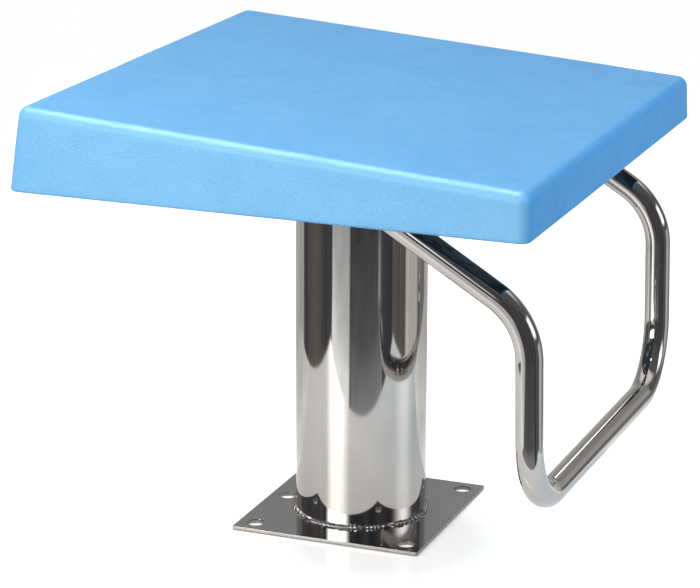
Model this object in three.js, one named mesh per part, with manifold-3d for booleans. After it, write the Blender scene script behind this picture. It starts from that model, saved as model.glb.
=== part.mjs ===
// A swimming starting block: a hollow laminated platform on one welded column,
// with a bent grip tube that hangs in front of it.
// Millimetres. The origin is the centre of the base plate's underside, +Z is up,
// +X points to the pool and the platform is symmetric about the XZ plane.
import * as THREE from 'three';
import { mergeVertices } from 'three/addons/utils/BufferGeometryUtils.js';
import Module from 'manifold-3d';

const wasm = await Module();
wasm.setup();

// Platform moulding
const PLATFORM_LENGTH = 595;
const PLATFORM_WIDTH = 637;
const RIM_HEIGHT = 439;
const FRONT_OVERHANG = 303;
const REAR_DEPTH = 94;
const FRONT_DEPTH = 50;
const LAMINATE = 5;
const CORNER_RADIUS = 25;
const EDGE_RADIUS = 12;
const SEAT_RISE = 41;
const CENTRE_PAD_LENGTH = 250;
const CENTRE_PAD_WIDTH = 250;
const SIDE_PAD_LENGTH = 140;
const SIDE_PAD_WIDTH = 96;
const PAD_TAPER = 5;
const RIB_WIDTH = 40;
const LONG_RIB_DEPTH = 12;
const CROSS_RIB_DEPTH = 15;
const LONG_RIB_INSET = 148.5;
const REAR_RIB_SETBACK = 80;
const FRONT_RIB_SETBACK = 70;

// Column and its plates
const COLUMN_DIAMETER = 154;
const COLUMN_WALL = 2;
const PLATE_LENGTH = 230;
const PLATE_WIDTH = 240;
const PLATE_THICKNESS = 5;
const PLATE_CORNER = 2;
const ANCHOR_HOLE = 20;
const ANCHOR_INSET = 21;
const FLANGE_SIZE = 200;
const FLANGE_THICKNESS = 8;
const FLANGE_CORNER = 12;
const FLANGE_BOLT_PITCH = 160;
const BASE_BEAD = 6;
const TOP_BEAD = 5;

// Grip tube and its end plates
const GRIP_DIAMETER = 30;
const GRIP_WALL = 2;
const GRIP_INSET = 66;
const KNEE_REACH = 285;
const KNEE_HEIGHT = 338;
const KNEE_RADIUS = 82;
const BAR_REACH = 289.5;
const BAR_HEIGHT = 122.5;
const BAR_RADIUS = 82;
const GRIP_END_REACH = 62;
const END_PLATE_LENGTH = 120;
const END_PLATE_WIDTH = 76;
const END_PLATE_THICKNESS = 6;
const END_PLATE_CORNER = 10;
const END_BOLT_PITCH_LONG = 92;
const END_BOLT_PITCH_WIDE = 52;
const GRIP_BEAD = 5;

// Fasteners: shank, spanner size, head, washer and threaded bush of each size
const FLANGE_BOLT = {
  shank: 12, flats: 18, head: 7.5, length: 24,
  washerDiameter: 24, washerThickness: 2.5, bushDiameter: 18, bushLength: 16, bushGroove: 1.2,
};
const END_BOLT = {
  shank: 8, flats: 13, head: 5.3, length: 18,
  washerDiameter: 16, washerThickness: 1.6, bushDiameter: 12, bushLength: 12, bushGroove: 0.8,
};

// Clearances
const SEAT_GAP = 0.3;
const BOLT_CLEARANCE = 1.5;
const OVERRUN = 4;

// Drafts of the moulding's walls, in length per length of height
const REAR_DRAFT = 0.134;
const FRONT_DRAFT = 0.025;
const SIDE_DRAFT = 0.018;

// Shares of the sizes that they follow
const BEAD_BULGE_SHARE = 0.62;
const RIPPLE_SHARE = 0.82;
const HEAD_CHAMFER_SHARE = 0.22;
const HEAD_LAND_SHARE = 0.94;
const BUSH_COLLAR_SHARE = 0.3;
const CORE_DEPTH_SHARE = 0.5;

// How finely curves are divided
const CORNER_STEPS = 8;
const EDGE_STEPS = 6;
const PLATE_CORNER_STEPS = 4;
const COLUMN_SIDES = 72;
const BEAD_RIPPLES = 48;
const TUBE_SIDES = 24;
const BORE_SIDES = 12;
const BEND_STEPS = 8;
const ANCHOR_SIDES = 24;
const WASHER_SIDES = 12;
const SHANK_SIDES = 12;

// Worked-out places
const FRONT_X = FRONT_OVERHANG;
const REAR_X = FRONT_OVERHANG - PLATFORM_LENGTH;
const SEAT_HEIGHT = RIM_HEIGHT + SEAT_RISE;
const DECK_FALL = (REAR_DEPTH - FRONT_DEPTH) / PLATFORM_LENGTH;
const DECK_SLANT = Math.hypot(1, DECK_FALL);
const COLUMN_TOP = SEAT_HEIGHT - FLANGE_THICKNESS;
const END_PLATE_UNDERSIDE = SEAT_HEIGHT - END_PLATE_THICKNESS;
const HALF_SPACING = PLATFORM_WIDTH / 2 - GRIP_INSET;

/** Height of the deck's upper face over the floor at a distance x from the column's axis. */
function deckHeight(x) {
  return RIM_HEIGHT + REAR_DEPTH - DECK_FALL * (x - REAR_X);
}

/** Four sign pairs of a rectangle's corners, in the order that goes round it. */
const CORNER_SIGNS = [[1, 1], [-1, 1], [-1, -1], [1, -1]];

/** Turns a closed three.js geometry into a solid that can be cut and joined. */
function solidOf(geometry) {
  const bare = geometry.clone();
  bare.deleteAttribute('normal');
  bare.deleteAttribute('uv');
  const merged = mergeVertices(bare);
  return new wasm.Manifold(new wasm.Mesh({
    numProp: 3,
    vertProperties: new Float32Array(merged.attributes.position.array),
    triVerts: new Uint32Array(merged.index.array),
  }));
}

/** Turns a cut or joined solid back into a three.js geometry. */
function geometryOf(solid) {
  const mesh = solid.getMesh();
  const geometry = new THREE.BufferGeometry();
  geometry.setAttribute('position', new THREE.BufferAttribute(mesh.vertProperties, 3));
  geometry.setIndex(new THREE.BufferAttribute(mesh.triVerts, 1));
  geometry.computeVertexNormals();
  return geometry;
}

/** Joins the first solid with the others. */
function joined(first, ...others) {
  return others.reduce((sum, next) => sum.add(next), first);
}

/** Cuts the others out of the first solid. */
function cut(first, ...others) {
  return others.reduce((rest, next) => rest.subtract(next), first);
}

/** A skin over closed sections: a ring if it closes on itself, else closed by a fan at each end. */
function skin(sections, closesOnItself = false) {
  const count = sections[0].length;
  const points = sections.flat();
  const faces = [];
  const spans = closesOnItself ? sections.length : sections.length - 1;
  for (let i = 0; i < spans; i += 1) {
    const here = i * count;
    const there = ((i + 1) % sections.length) * count;
    for (let j = 0; j < count; j += 1) {
      const next = (j + 1) % count;
      faces.push(here + j, here + next, there + j);
      faces.push(here + next, there + next, there + j);
    }
  }
  if (!closesOnItself) {
    const last = (sections.length - 1) * count;
    for (const [start, turned] of [[0, true], [last, false]]) {
      const centre = new THREE.Vector3();
      for (let j = 0; j < count; j += 1) centre.addScaledVector(points[start + j], 1 / count);
      points.push(centre);
      for (let j = 0; j < count; j += 1) {
        const a = start + j;
        const b = start + ((j + 1) % count);
        faces.push(...(turned ? [b, a] : [a, b]), points.length - 1);
      }
    }
  }
  const geometry = new THREE.BufferGeometry().setFromPoints(points);
  geometry.setIndex(faces);
  geometry.computeVertexNormals();
  return geometry;
}

/** A profile of [radius, height] points that closes on itself, turned round the Z axis. */
function turned(profile, sides) {
  const points = [...profile, profile[0]].map(([radius, height]) => new THREE.Vector2(radius, height));
  return new THREE.LatheGeometry(points, sides).rotateX(Math.PI / 2);
}

/** A round bar along Z between two heights. */
function roundBar(diameter, bottom, top, sides = SHANK_SIDES) {
  const bar = new THREE.CylinderGeometry(diameter / 2, diameter / 2, top - bottom, sides);
  return bar.rotateX(Math.PI / 2).translate(0, 0, (top + bottom) / 2);
}

/** Points on an arc about a centre, from one angle to another. */
function arcPoints(x, y, radius, from, to, steps) {
  return Array.from({ length: steps + 1 }, (_, step) => {
    const angle = from + ((to - from) * step) / steps;
    return new THREE.Vector2(x + radius * Math.cos(angle), y + radius * Math.sin(angle));
  });
}

/** Points on a whole circle about a centre, the first not repeated. */
function circlePoints(x, y, diameter, sides) {
  return arcPoints(x, y, diameter / 2, 0, 2 * Math.PI, sides).slice(0, -1);
}

/** A rectangle with round corners, as a flat shape round the origin. */
function roundedRectangle(length, width, radius) {
  return new THREE.Shape(CORNER_SIGNS.flatMap(([sx, sy], corner) => {
    const start = (corner * Math.PI) / 2;
    const x = sx * (length / 2 - radius);
    const y = sy * (width / 2 - radius);
    return arcPoints(x, y, radius, start, start + Math.PI / 2, PLATE_CORNER_STEPS);
  }));
}

/** A flat plate with round holes; its underside lies at the height zero. */
function drilledPlate(shape, thickness, holes, diameter, sides) {
  for (const [x, y] of holes) {
    shape.holes.push(new THREE.Path(circlePoints(x, y, diameter, sides)));
  }
  return new THREE.ExtrudeGeometry(shape, { depth: thickness, bevelEnabled: false });
}

/** The platform's ring at a wall offset: rounded at the corners, drawn in by the drafts. */
function platformRing({ inset, cornerRadius, heightAt }) {
  const ring = [];
  CORNER_SIGNS.forEach(([sx, sy], corner) => {
    for (let step = 0; step <= CORNER_STEPS; step += 1) {
      const angle = ((corner + step / CORNER_STEPS) * Math.PI) / 2;
      const point = new THREE.Vector3(sx > 0 ? FRONT_X : REAR_X, 0, RIM_HEIGHT);
      for (let settle = 0; settle < 6; settle += 1) {
        const rise = point.z - RIM_HEIGHT;
        const frontEdge = FRONT_X - FRONT_DRAFT * rise - inset - cornerRadius;
        const rearEdge = REAR_X + REAR_DRAFT * rise + inset + cornerRadius;
        const sideEdge = PLATFORM_WIDTH / 2 - SIDE_DRAFT * rise - inset - cornerRadius;
        point.x = (sx > 0 ? frontEdge : rearEdge) + cornerRadius * Math.cos(angle);
        point.y = sy * sideEdge + cornerRadius * Math.sin(angle);
        point.z = heightAt(point.x);
      }
      ring.push(point);
    }
  });
  return ring;
}

/** Rings over one face of the laminate, from the deck's edge over the fillet down to the rim. */
function laminateRings(wallOffset) {
  const deckOffset = wallOffset * DECK_SLANT;
  const fillet = EDGE_RADIUS - wallOffset;
  const rings = [];
  for (let step = EDGE_STEPS; step >= 0; step -= 1) {
    const angle = ((step / EDGE_STEPS) * Math.PI) / 2;
    const drawIn = fillet * (1 - Math.cos(angle));
    const drop = fillet * (1 - Math.sin(angle));
    rings.push(platformRing({
      inset: wallOffset + drawIn,
      cornerRadius: CORNER_RADIUS - wallOffset - drawIn,
      heightAt: (x) => deckHeight(x) - deckOffset - drop,
    }));
  }
  rings.push(platformRing({
    inset: wallOffset,
    cornerRadius: CORNER_RADIUS - wallOffset,
    heightAt: () => RIM_HEIGHT,
  }));
  return rings;
}

/** The hollow laminate: inner face, rim and outer face as one closed skin. */
function laminate() {
  return solidOf(skin([...laminateRings(LAMINATE), ...laminateRings(0).reverse()]));
}

/** The space inside the laminate's mid-surface, which everything under the deck is trimmed to. */
function coreForm() {
  return solidOf(skin(laminateRings(LAMINATE * CORE_DEPTH_SHARE).reverse()));
}

/** A block under the deck, drawn in by a taper towards its underside; its top runs past the deck. */
function underdeckBlock({ x0, x1, y0, y1, taperX = 0, taperY = 0, undersideAt }) {
  const shape = new THREE.BoxGeometry(1, 1, 1);
  const position = shape.attributes.position;
  for (let i = 0; i < position.count; i += 1) {
    const lower = position.getZ(i) < 0;
    const drawX = lower ? taperX : 0;
    const drawY = lower ? taperY : 0;
    const x = position.getX(i) < 0 ? x0 + drawX : x1 - drawX;
    const y = position.getY(i) < 0 ? y0 + drawY : y1 - drawY;
    position.setXYZ(i, x, y, lower ? undersideAt(x) : deckHeight(x) + OVERRUN);
  }
  return solidOf(shape);
}

/** A pad with a level seat, centred on a place under the deck. */
function seatPad(x, y, length, width) {
  return underdeckBlock({
    x0: x - length / 2, x1: x + length / 2, y0: y - width / 2, y1: y + width / 2,
    taperX: PAD_TAPER, taperY: PAD_TAPER, undersideAt: () => SEAT_HEIGHT,
  });
}

/** A stiffening rib along X from the rear wall to the front wall. */
function longRib(y) {
  return underdeckBlock({
    x0: REAR_X - OVERRUN, x1: FRONT_X + OVERRUN, y0: y - RIB_WIDTH / 2, y1: y + RIB_WIDTH / 2,
    taperY: PAD_TAPER, undersideAt: (x) => deckHeight(x) - LAMINATE * DECK_SLANT - LONG_RIB_DEPTH,
  });
}

/** A stiffening rib along Y from wall to wall. */
function crossRib(x) {
  const reach = PLATFORM_WIDTH / 2 + OVERRUN;
  return underdeckBlock({
    x0: x - RIB_WIDTH / 2, x1: x + RIB_WIDTH / 2, y0: -reach, y1: reach,
    taperX: PAD_TAPER,
    undersideAt: (place) => deckHeight(place) - LAMINATE * DECK_SLANT - CROSS_RIB_DEPTH,
  });
}

/** Places of a four-bolt rectangle round a centre. */
function boltPlaces(x, y, pitchX, pitchY) {
  return CORNER_SIGNS.map(([sx, sy]) => [x + (sx * pitchX) / 2, y + (sy * pitchY) / 2]);
}

const FLANGE_BOLT_PLACES = boltPlaces(0, 0, FLANGE_BOLT_PITCH, FLANGE_BOLT_PITCH);

/** Bolt places of the grip's end plate on one side, -1 near and 1 far. */
function endBoltPlaces(side) {
  return boltPlaces(GRIP_END_REACH, side * HALF_SPACING, END_BOLT_PITCH_LONG, END_BOLT_PITCH_WIDE);
}

/** The pocket in a pad that a threaded bush is laminated into. */
function bushPocket([x, y], bolt) {
  const pocket = roundBar(
    bolt.bushDiameter + 2 * SEAT_GAP, SEAT_HEIGHT - OVERRUN, SEAT_HEIGHT + bolt.bushLength + SEAT_GAP,
  );
  return solidOf(pocket.translate(x, y, 0));
}

/** The platform: laminate, pads and ribs moulded in one, with pockets for the bushes. */
function platformShell() {
  const pads = [
    seatPad(0, 0, CENTRE_PAD_LENGTH, CENTRE_PAD_WIDTH),
    seatPad(GRIP_END_REACH, -HALF_SPACING, SIDE_PAD_LENGTH, SIDE_PAD_WIDTH),
    seatPad(GRIP_END_REACH, HALF_SPACING, SIDE_PAD_LENGTH, SIDE_PAD_WIDTH),
  ];
  const ribs = [
    longRib(LONG_RIB_INSET - PLATFORM_WIDTH / 2),
    longRib(PLATFORM_WIDTH / 2 - LONG_RIB_INSET),
    crossRib(REAR_X + REAR_RIB_SETBACK),
    crossRib(GRIP_END_REACH),
    crossRib(FRONT_X - FRONT_RIB_SETBACK),
  ];
  const pockets = [
    ...FLANGE_BOLT_PLACES.map((place) => bushPocket(place, FLANGE_BOLT)),
    ...[-1, 1].flatMap((side) => endBoltPlaces(side).map((place) => bushPocket(place, END_BOLT))),
  ];
  const stiffening = joined(...pads, ...ribs).intersect(coreForm());
  return geometryOf(cut(laminate().add(stiffening), ...pockets));
}

/** The column: an open tube from the base plate to the flange. */
function columnTube() {
  const outer = COLUMN_DIAMETER / 2;
  const inner = outer - COLUMN_WALL;
  return turned(
    [[inner, PLATE_THICKNESS], [outer, PLATE_THICKNESS], [outer, COLUMN_TOP], [inner, COLUMN_TOP]],
    COLUMN_SIDES,
  );
}

/** The base plate, with an anchor hole in each corner and one halfway along the rear side. */
function basePlate() {
  const reachX = PLATE_LENGTH / 2 - ANCHOR_INSET;
  const reachY = PLATE_WIDTH / 2 - ANCHOR_INSET;
  const holes = [...CORNER_SIGNS.map(([sx, sy]) => [sx * reachX, sy * reachY]), [-reachX, 0]];
  const outline = roundedRectangle(PLATE_LENGTH, PLATE_WIDTH, PLATE_CORNER);
  return drilledPlate(outline, PLATE_THICKNESS, holes, ANCHOR_HOLE, ANCHOR_SIDES);
}

/** The flange on the column's top, with a clear hole for each bolt. */
function topFlange() {
  const outline = roundedRectangle(FLANGE_SIZE, FLANGE_SIZE, FLANGE_CORNER);
  const hole = FLANGE_BOLT.shank + BOLT_CLEARANCE;
  const plate = drilledPlate(outline, FLANGE_THICKNESS, FLANGE_BOLT_PLACES, hole, WASHER_SIDES);
  return plate.translate(0, 0, COLUMN_TOP);
}

/**
 * A rippled weld bead round the column: a bulged fillet whose leg swells and shrinks along the seam.
 * It lies on a plate at the given height, above it when rise is 1 and below it when rise is -1.
 */
function columnBead(leg, height, rise) {
  const root = COLUMN_DIAMETER / 2 + SEAT_GAP;
  const sections = [];
  for (let i = 0; i < 2 * BEAD_RIPPLES; i += 1) {
    const angle = (i * Math.PI) / BEAD_RIPPLES;
    const size = i % 2 === 0 ? leg : leg * RIPPLE_SHARE;
    const bulge = size * BEAD_BULGE_SHARE;
    const profile = [[0, 0], [size, 0], [bulge, bulge], [0, size]];
    if (rise > 0) profile.reverse();
    sections.push(profile.map(([out, up]) => new THREE.Vector3(
      (root + out) * Math.cos(angle), (root + out) * Math.sin(angle), height + rise * up,
    )));
  }
  return skin(sections, true);
}

/** A path of straight runs and round bends, with its stations only where the direction changes. */
class BentPath extends THREE.Curve {
  constructor(corners, radii) {
    super();
    this.stations = [];
    const heading = new THREE.Vector3().subVectors(corners[1], corners[0]).normalize();
    this.stations.push({ point: corners[0], tangent: heading });
    radii.forEach((radius, i) => this.addBend(corners[i], corners[i + 1], corners[i + 2], radius));
    const end = corners.at(-1);
    this.stations.push({ point: end, tangent: new THREE.Vector3().subVectors(end, corners.at(-2)).normalize() });
  }

  /** Stations on the arc of a given radius that rounds the corner between two runs. */
  addBend(before, corner, after, radius) {
    const back = new THREE.Vector3().subVectors(before, corner).normalize();
    const ahead = new THREE.Vector3().subVectors(after, corner).normalize();
    const between = back.angleTo(ahead);
    const middle = new THREE.Vector3().addVectors(back, ahead).normalize();
    const centre = corner.clone().addScaledVector(middle, radius / Math.sin(between / 2));
    const setback = radius / Math.tan(between / 2);
    const start = corner.clone().addScaledVector(back, setback).sub(centre);
    const finish = corner.clone().addScaledVector(ahead, setback).sub(centre);
    const sweep = Math.PI - between;
    for (let step = 0; step <= BEND_STEPS; step += 1) {
      const gone = (sweep * step) / BEND_STEPS;
      const left = sweep - gone;
      const point = centre.clone()
        .addScaledVector(start, Math.sin(left) / Math.sin(sweep))
        .addScaledVector(finish, Math.sin(gone) / Math.sin(sweep));
      const tangent = new THREE.Vector3()
        .addScaledVector(start, -Math.cos(left))
        .addScaledVector(finish, Math.cos(gone))
        .normalize();
      this.stations.push({ point, tangent });
    }
  }

  get steps() {
    return this.stations.length - 1;
  }

  getPointAt(share, target = new THREE.Vector3()) {
    return target.copy(this.stations[Math.round(share * this.steps)].point);
  }

  getTangentAt(share, target = new THREE.Vector3()) {
    return target.copy(this.stations[Math.round(share * this.steps)].tangent);
  }
}

/** Where the grip's centre line meets the end plate on one side, and its direction from there. */
function gripEnd(side) {
  const place = new THREE.Vector3(GRIP_END_REACH, side * HALF_SPACING, END_PLATE_UNDERSIDE);
  const knee = new THREE.Vector3(KNEE_REACH, side * HALF_SPACING, KNEE_HEIGHT);
  return { place, direction: new THREE.Vector3().subVectors(knee, place).normalize() };
}

/** The grip: one tube bent at two knees and two lower corners, its ends cut level under the plates. */
function gripTube() {
  const half = (side) => {
    const { place, direction } = gripEnd(side);
    return [
      place.clone().addScaledVector(direction, -2 * GRIP_DIAMETER),
      new THREE.Vector3(KNEE_REACH, side * HALF_SPACING, KNEE_HEIGHT),
      new THREE.Vector3(BAR_REACH, side * HALF_SPACING, BAR_HEIGHT),
    ];
  };
  const corners = [...half(-1), ...half(1).reverse()];
  const path = new BentPath(corners, [KNEE_RADIUS, BAR_RADIUS, BAR_RADIUS, KNEE_RADIUS]);
  const section = new THREE.Shape(circlePoints(0, 0, GRIP_DIAMETER, TUBE_SIDES));
  section.holes.push(new THREE.Path(circlePoints(0, 0, GRIP_DIAMETER - 2 * GRIP_WALL, BORE_SIDES)));
  const tube = new THREE.ExtrudeGeometry(section, { steps: path.steps, extrudePath: path, bevelEnabled: false });
  const above = new THREE.BoxGeometry(PLATFORM_LENGTH, PLATFORM_WIDTH, PLATFORM_LENGTH);
  above.translate(0, 0, END_PLATE_UNDERSIDE - SEAT_GAP + PLATFORM_LENGTH / 2);
  return geometryOf(cut(solidOf(tube), solidOf(above)));
}

/** The plate on the grip's end, bolted up against the side pad. */
function gripEndPlate(side) {
  const outline = roundedRectangle(END_PLATE_LENGTH, END_PLATE_WIDTH, END_PLATE_CORNER);
  const holes = boltPlaces(0, 0, END_BOLT_PITCH_LONG, END_BOLT_PITCH_WIDE);
  const hole = END_BOLT.shank + BOLT_CLEARANCE;
  const plate = drilledPlate(outline, END_PLATE_THICKNESS, holes, hole, WASHER_SIDES);
  return plate.translate(GRIP_END_REACH, side * HALF_SPACING, END_PLATE_UNDERSIDE);
}

/** The bead round the grip's slanted end: a fillet that follows the oval where tube and plate meet. */
function gripBead(side) {
  const { place, direction } = gripEnd(side);
  const radius = GRIP_DIAMETER / 2 + SEAT_GAP;
  const stretch = 1 / Math.abs(direction.z);
  const sections = [];
  for (let i = 0; i < TUBE_SIDES; i += 1) {
    const angle = (i * 2 * Math.PI) / TUBE_SIDES;
    const along = new THREE.Vector3(radius * stretch * Math.cos(angle), radius * Math.sin(angle), 0);
    const outward = new THREE.Vector3(Math.cos(angle), Math.sin(angle) * stretch, 0).normalize();
    const root = place.clone().add(along);
    sections.push([
      root,
      root.clone().addScaledVector(outward, GRIP_BEAD),
      root.clone().addScaledVector(outward, GRIP_BEAD / 2).addScaledVector(direction, GRIP_BEAD / 2),
      root.clone().addScaledVector(direction, GRIP_BEAD),
    ]);
  }
  return skin(sections, true);
}

/** A hex bolt with its head below and its shank up; the head's bearing face lies at the height zero. */
function hexBolt(bolt) {
  const corner = bolt.flats / 2 / Math.cos(Math.PI / 6);
  const hexagon = roundBar(2 * corner, -bolt.head, 0, 6);
  const chamfer = turned([
    [0, -bolt.head],
    [(bolt.flats / 2) * HEAD_LAND_SHARE, -bolt.head],
    [corner, -bolt.head * (1 - HEAD_CHAMFER_SHARE)],
    [corner, 0],
    [0, 0],
  ], WASHER_SIDES);
  const shank = roundBar(bolt.shank, -bolt.head / 2, bolt.length);
  return geometryOf(solidOf(hexagon).intersect(solidOf(chamfer)).add(solidOf(shank)));
}

/** A plain washer; its upper face lies at the height zero. */
function washer(bolt) {
  const bore = bolt.shank / 2 + SEAT_GAP;
  const edge = bolt.washerDiameter / 2;
  const lower = -bolt.washerThickness;
  return turned([[bore, lower], [edge, lower], [edge, 0], [bore, 0]], WASHER_SIDES);
}

/** A threaded bush with a collar at each end and a groove that the laminate grips. */
function threadedBush(bolt) {
  const bore = bolt.shank / 2 + SEAT_GAP;
  const edge = bolt.bushDiameter / 2;
  const groove = edge - bolt.bushGroove;
  const collar = bolt.bushLength * BUSH_COLLAR_SHARE;
  const top = bolt.bushLength;
  return turned([
    [bore, 0], [edge, 0], [edge, collar], [groove, collar],
    [groove, top - collar], [edge, top - collar], [edge, top], [bore, top],
  ], SHANK_SIDES);
}

/** Mirror-polished stainless steel. */
function polishedSteel() {
  return new THREE.MeshStandardMaterial({ color: 0xc9c7c4, roughness: 0.08, metalness: 1 });
}

/** Brushed stainless steel of hidden plates. */
function brushedSteel() {
  return new THREE.MeshStandardMaterial({ color: 0xb4b3b0, roughness: 0.35, metalness: 1 });
}

/** Weld metal as it cooled, a little duller than the polished tube. */
function weldMetal() {
  return new THREE.MeshStandardMaterial({ color: 0xa8a5a0, roughness: 0.3, metalness: 1 });
}

/** Plated fastener steel. */
function fastenerSteel() {
  return new THREE.MeshStandardMaterial({ color: 0xbdbcb8, roughness: 0.25, metalness: 1 });
}

/** Brass of the threaded bushes. */
function bushBrass() {
  return new THREE.MeshStandardMaterial({ color: 0xb59a54, roughness: 0.4, metalness: 1 });
}

/** Blue gel coat with a slip-resistant grain. */
function gelCoat() {
  return new THREE.MeshStandardMaterial({ color: 0x4fa0e6, roughness: 0.55, metalness: 0 });
}

const block = new THREE.Group();

/** Adds one named piece to the block, moved to its place. */
function addPiece(name, geometry, material, place = [0, 0, 0]) {
  const mesh = new THREE.Mesh(geometry, material);
  mesh.name = name;
  mesh.position.set(...place);
  block.add(mesh);
}

/** Adds the bolt, washer and bush at each place under a plate of a given underside. */
function addFasteners(prefix, bolt, places, plateUnderside) {
  places.forEach(([x, y], i) => {
    const number = i + 1;
    const bearing = plateUnderside - bolt.washerThickness;
    addPiece(`${prefix}_bolt_${number}`, hexBolt(bolt), fastenerSteel(), [x, y, bearing]);
    addPiece(`${prefix}_washer_${number}`, washer(bolt), fastenerSteel(), [x, y, plateUnderside]);
    addPiece(`${prefix}_bush_${number}`, threadedBush(bolt), bushBrass(), [x, y, SEAT_HEIGHT]);
  });
}

addPiece('platform_shell', platformShell(), gelCoat());
addPiece('column_tube', columnTube(), polishedSteel());
addPiece('base_plate', basePlate(), polishedSteel());
addPiece('base_weld', columnBead(BASE_BEAD, PLATE_THICKNESS, 1), weldMetal());
addPiece('top_flange', topFlange(), brushedSteel());
addPiece('top_weld', columnBead(TOP_BEAD, COLUMN_TOP, -1), weldMetal());
addFasteners('flange', FLANGE_BOLT, FLANGE_BOLT_PLACES, COLUMN_TOP);

addPiece('grip_tube', gripTube(), polishedSteel());
for (const [side, name] of [[-1, 'near'], [1, 'far']]) {
  addPiece(`grip_plate_${name}`, gripEndPlate(side), brushedSteel());
  addPiece(`grip_weld_${name}`, gripBead(side), weldMetal());
  addFasteners(`grip_${name}`, END_BOLT, endBoltPlaces(side), END_PLATE_UNDERSIDE);
}

export default block;
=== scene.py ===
"""A swimming starting block, dressed for a studio picture.

A hollow blue platform with a grained gel coat stands on a mirror-polished column with a drilled
base plate, and a bent grip tube hangs in front of it. Lengths are metres, +Z is up, +X points to
the water and the origin is the centre of the base plate's underside.
"""
import logging
import math
from dataclasses import dataclass
from enum import Enum

import bmesh
import bpy
import numpy as np
from mathutils import Matrix, Vector
from mathutils.geometry import tessellate_polygon


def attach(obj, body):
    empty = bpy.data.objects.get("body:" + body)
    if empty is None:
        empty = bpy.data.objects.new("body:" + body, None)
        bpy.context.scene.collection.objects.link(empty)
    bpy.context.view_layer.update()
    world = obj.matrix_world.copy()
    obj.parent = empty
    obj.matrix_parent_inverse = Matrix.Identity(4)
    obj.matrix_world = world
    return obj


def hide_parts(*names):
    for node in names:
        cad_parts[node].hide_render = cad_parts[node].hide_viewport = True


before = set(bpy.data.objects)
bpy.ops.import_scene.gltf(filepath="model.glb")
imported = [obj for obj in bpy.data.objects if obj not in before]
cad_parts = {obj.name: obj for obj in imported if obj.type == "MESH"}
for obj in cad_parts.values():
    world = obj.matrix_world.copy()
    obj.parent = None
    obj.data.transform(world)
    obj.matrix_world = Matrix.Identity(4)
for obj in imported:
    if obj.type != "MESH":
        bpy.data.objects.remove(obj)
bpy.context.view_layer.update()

ROOT = "root"
MM = 0.001
CORNERS = ((1, 1), (-1, 1), (-1, -1), (1, -1))
log = logging.getLogger("starting_block")

Array = np.ndarray
Pair = tuple[float, float]
Triple = tuple[float, float, float]
Colour = Triple
Material = bpy.types.Material
Socket = bpy.types.NodeSocket


class Slot(Enum):
    """Material slots of the record that pieces take their finish from."""

    GEL_COAT = "gel_coat"
    POLISHED_STEEL = "polished_steel"
    BRUSHED_STEEL = "brushed_steel"
    WELD_METAL = "weld_metal"
    FASTENER_STEEL = "fastener_steel"


# --------- meshes


def placed(name: str, data: bpy.types.ID) -> bpy.types.Object:
    """Puts a new object with its data into the scene.

    Args:
        name: The object's name.
        data: Its mesh, light or camera.

    Returns:
        The object.
    """
    piece = bpy.data.objects.new(name, data)
    bpy.context.scene.collection.objects.link(piece)
    return piece


def read(items: bpy.types.bpy_prop_collection, name: str, kind: type, width: int = 1) -> Array:
    """Reads one property of all items of a mesh.

    Args:
        items: Its vertices, polygons or loops.
        name: The property.
        kind: The numbers' type.
        width: How many numbers the property has.

    Returns:
        The numbers in a flat array.
    """
    values = np.empty(len(items) * width, kind)
    items.foreach_get(name, values)
    return values


class MeshBuilder:
    """Collects surfaces and makes one mesh object of them."""

    def __init__(self) -> None:
        """Starts with no surfaces."""
        self.points: list[Array] = []
        self.faces: list[Array] = []
        self.finishes: list[Array] = []
        self.count = 0

    def add_points(self, points: Array) -> int:
        """Adds vertices.

        Args:
            points: Their places, in rows of three numbers.

        Returns:
            The number of the first of them.
        """
        first = self.count
        self.points.append(points.reshape(-1, 3))
        self.count += len(self.points[-1])
        return first

    def add_faces(self, faces: Array, finish: int | Array = 0) -> None:
        """Adds faces with the number of their finish, one for all or one each."""
        self.faces.append(faces)
        self.finishes.append(np.broadcast_to(finish, len(faces)))

    def add_grid(self, points: Array, closed: bool = False, finish: int | Array = 0) -> int:
        """Adds a surface of rows of vertices that go round, each row joined to the next.

        Args:
            points: Rows by columns by three numbers.
            closed: Joins the last row to the first.
            finish: The number of its finish, or one for each face.

        Returns:
            The number of its first vertex.
        """
        rows, columns = points.shape[:2]
        first = self.add_points(points)
        row, column = np.arange(rows if closed else rows - 1)[:, None], np.arange(columns)
        below, right = (row + 1) % rows, (column + 1) % columns
        corners = ((row, column), (row, right), (below, right), (below, column))
        quads = np.stack([r * columns + c for r, c in corners], axis=-1).reshape(-1, 4)
        self.add_faces(quads + first, finish)
        return first

    def build(self, name: str, materials: list[Material], slot: Slot, *nodes: str,
              crease: float = 38.0, flat: bool = False) -> bpy.types.Object:
        """Makes the object, closes its seams and poles, turns its faces outwards and logs it.

        Args:
            name: The piece's name.
            materials: A material for each number of finish.
            slot: The record's slot that its finish belongs to; not used.
            nodes: The nodes that the piece stands for.
            crease: The angle in degrees past which an edge is shown sharp.
            flat: Shades the faces of the first finish flat.

        Returns:
            The finished object, which rides on the root body.
        """
        mesh = bpy.data.meshes.new(name)
        corners = [face for block in self.faces for face in block.tolist()]
        mesh.from_pydata(np.concatenate(self.points).tolist(), [], corners)
        for material in materials:
            mesh.materials.append(material)
        finishes = np.concatenate(self.finishes).astype(np.int32)
        mesh.polygons.foreach_set("material_index", finishes)
        close_mesh(mesh)
        mesh.set_sharp_from_angle(angle=math.radians(crease))
        numbers = read(mesh.polygons, "material_index", np.int32)
        mesh.polygons.foreach_set("use_smooth", (numbers > 0) | (not flat))
        piece = placed(name, mesh)
        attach(piece, ROOT)
        if nodes:
            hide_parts(*nodes)
        log.info("%s: %d faces", name, len(mesh.polygons))
        return piece


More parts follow.
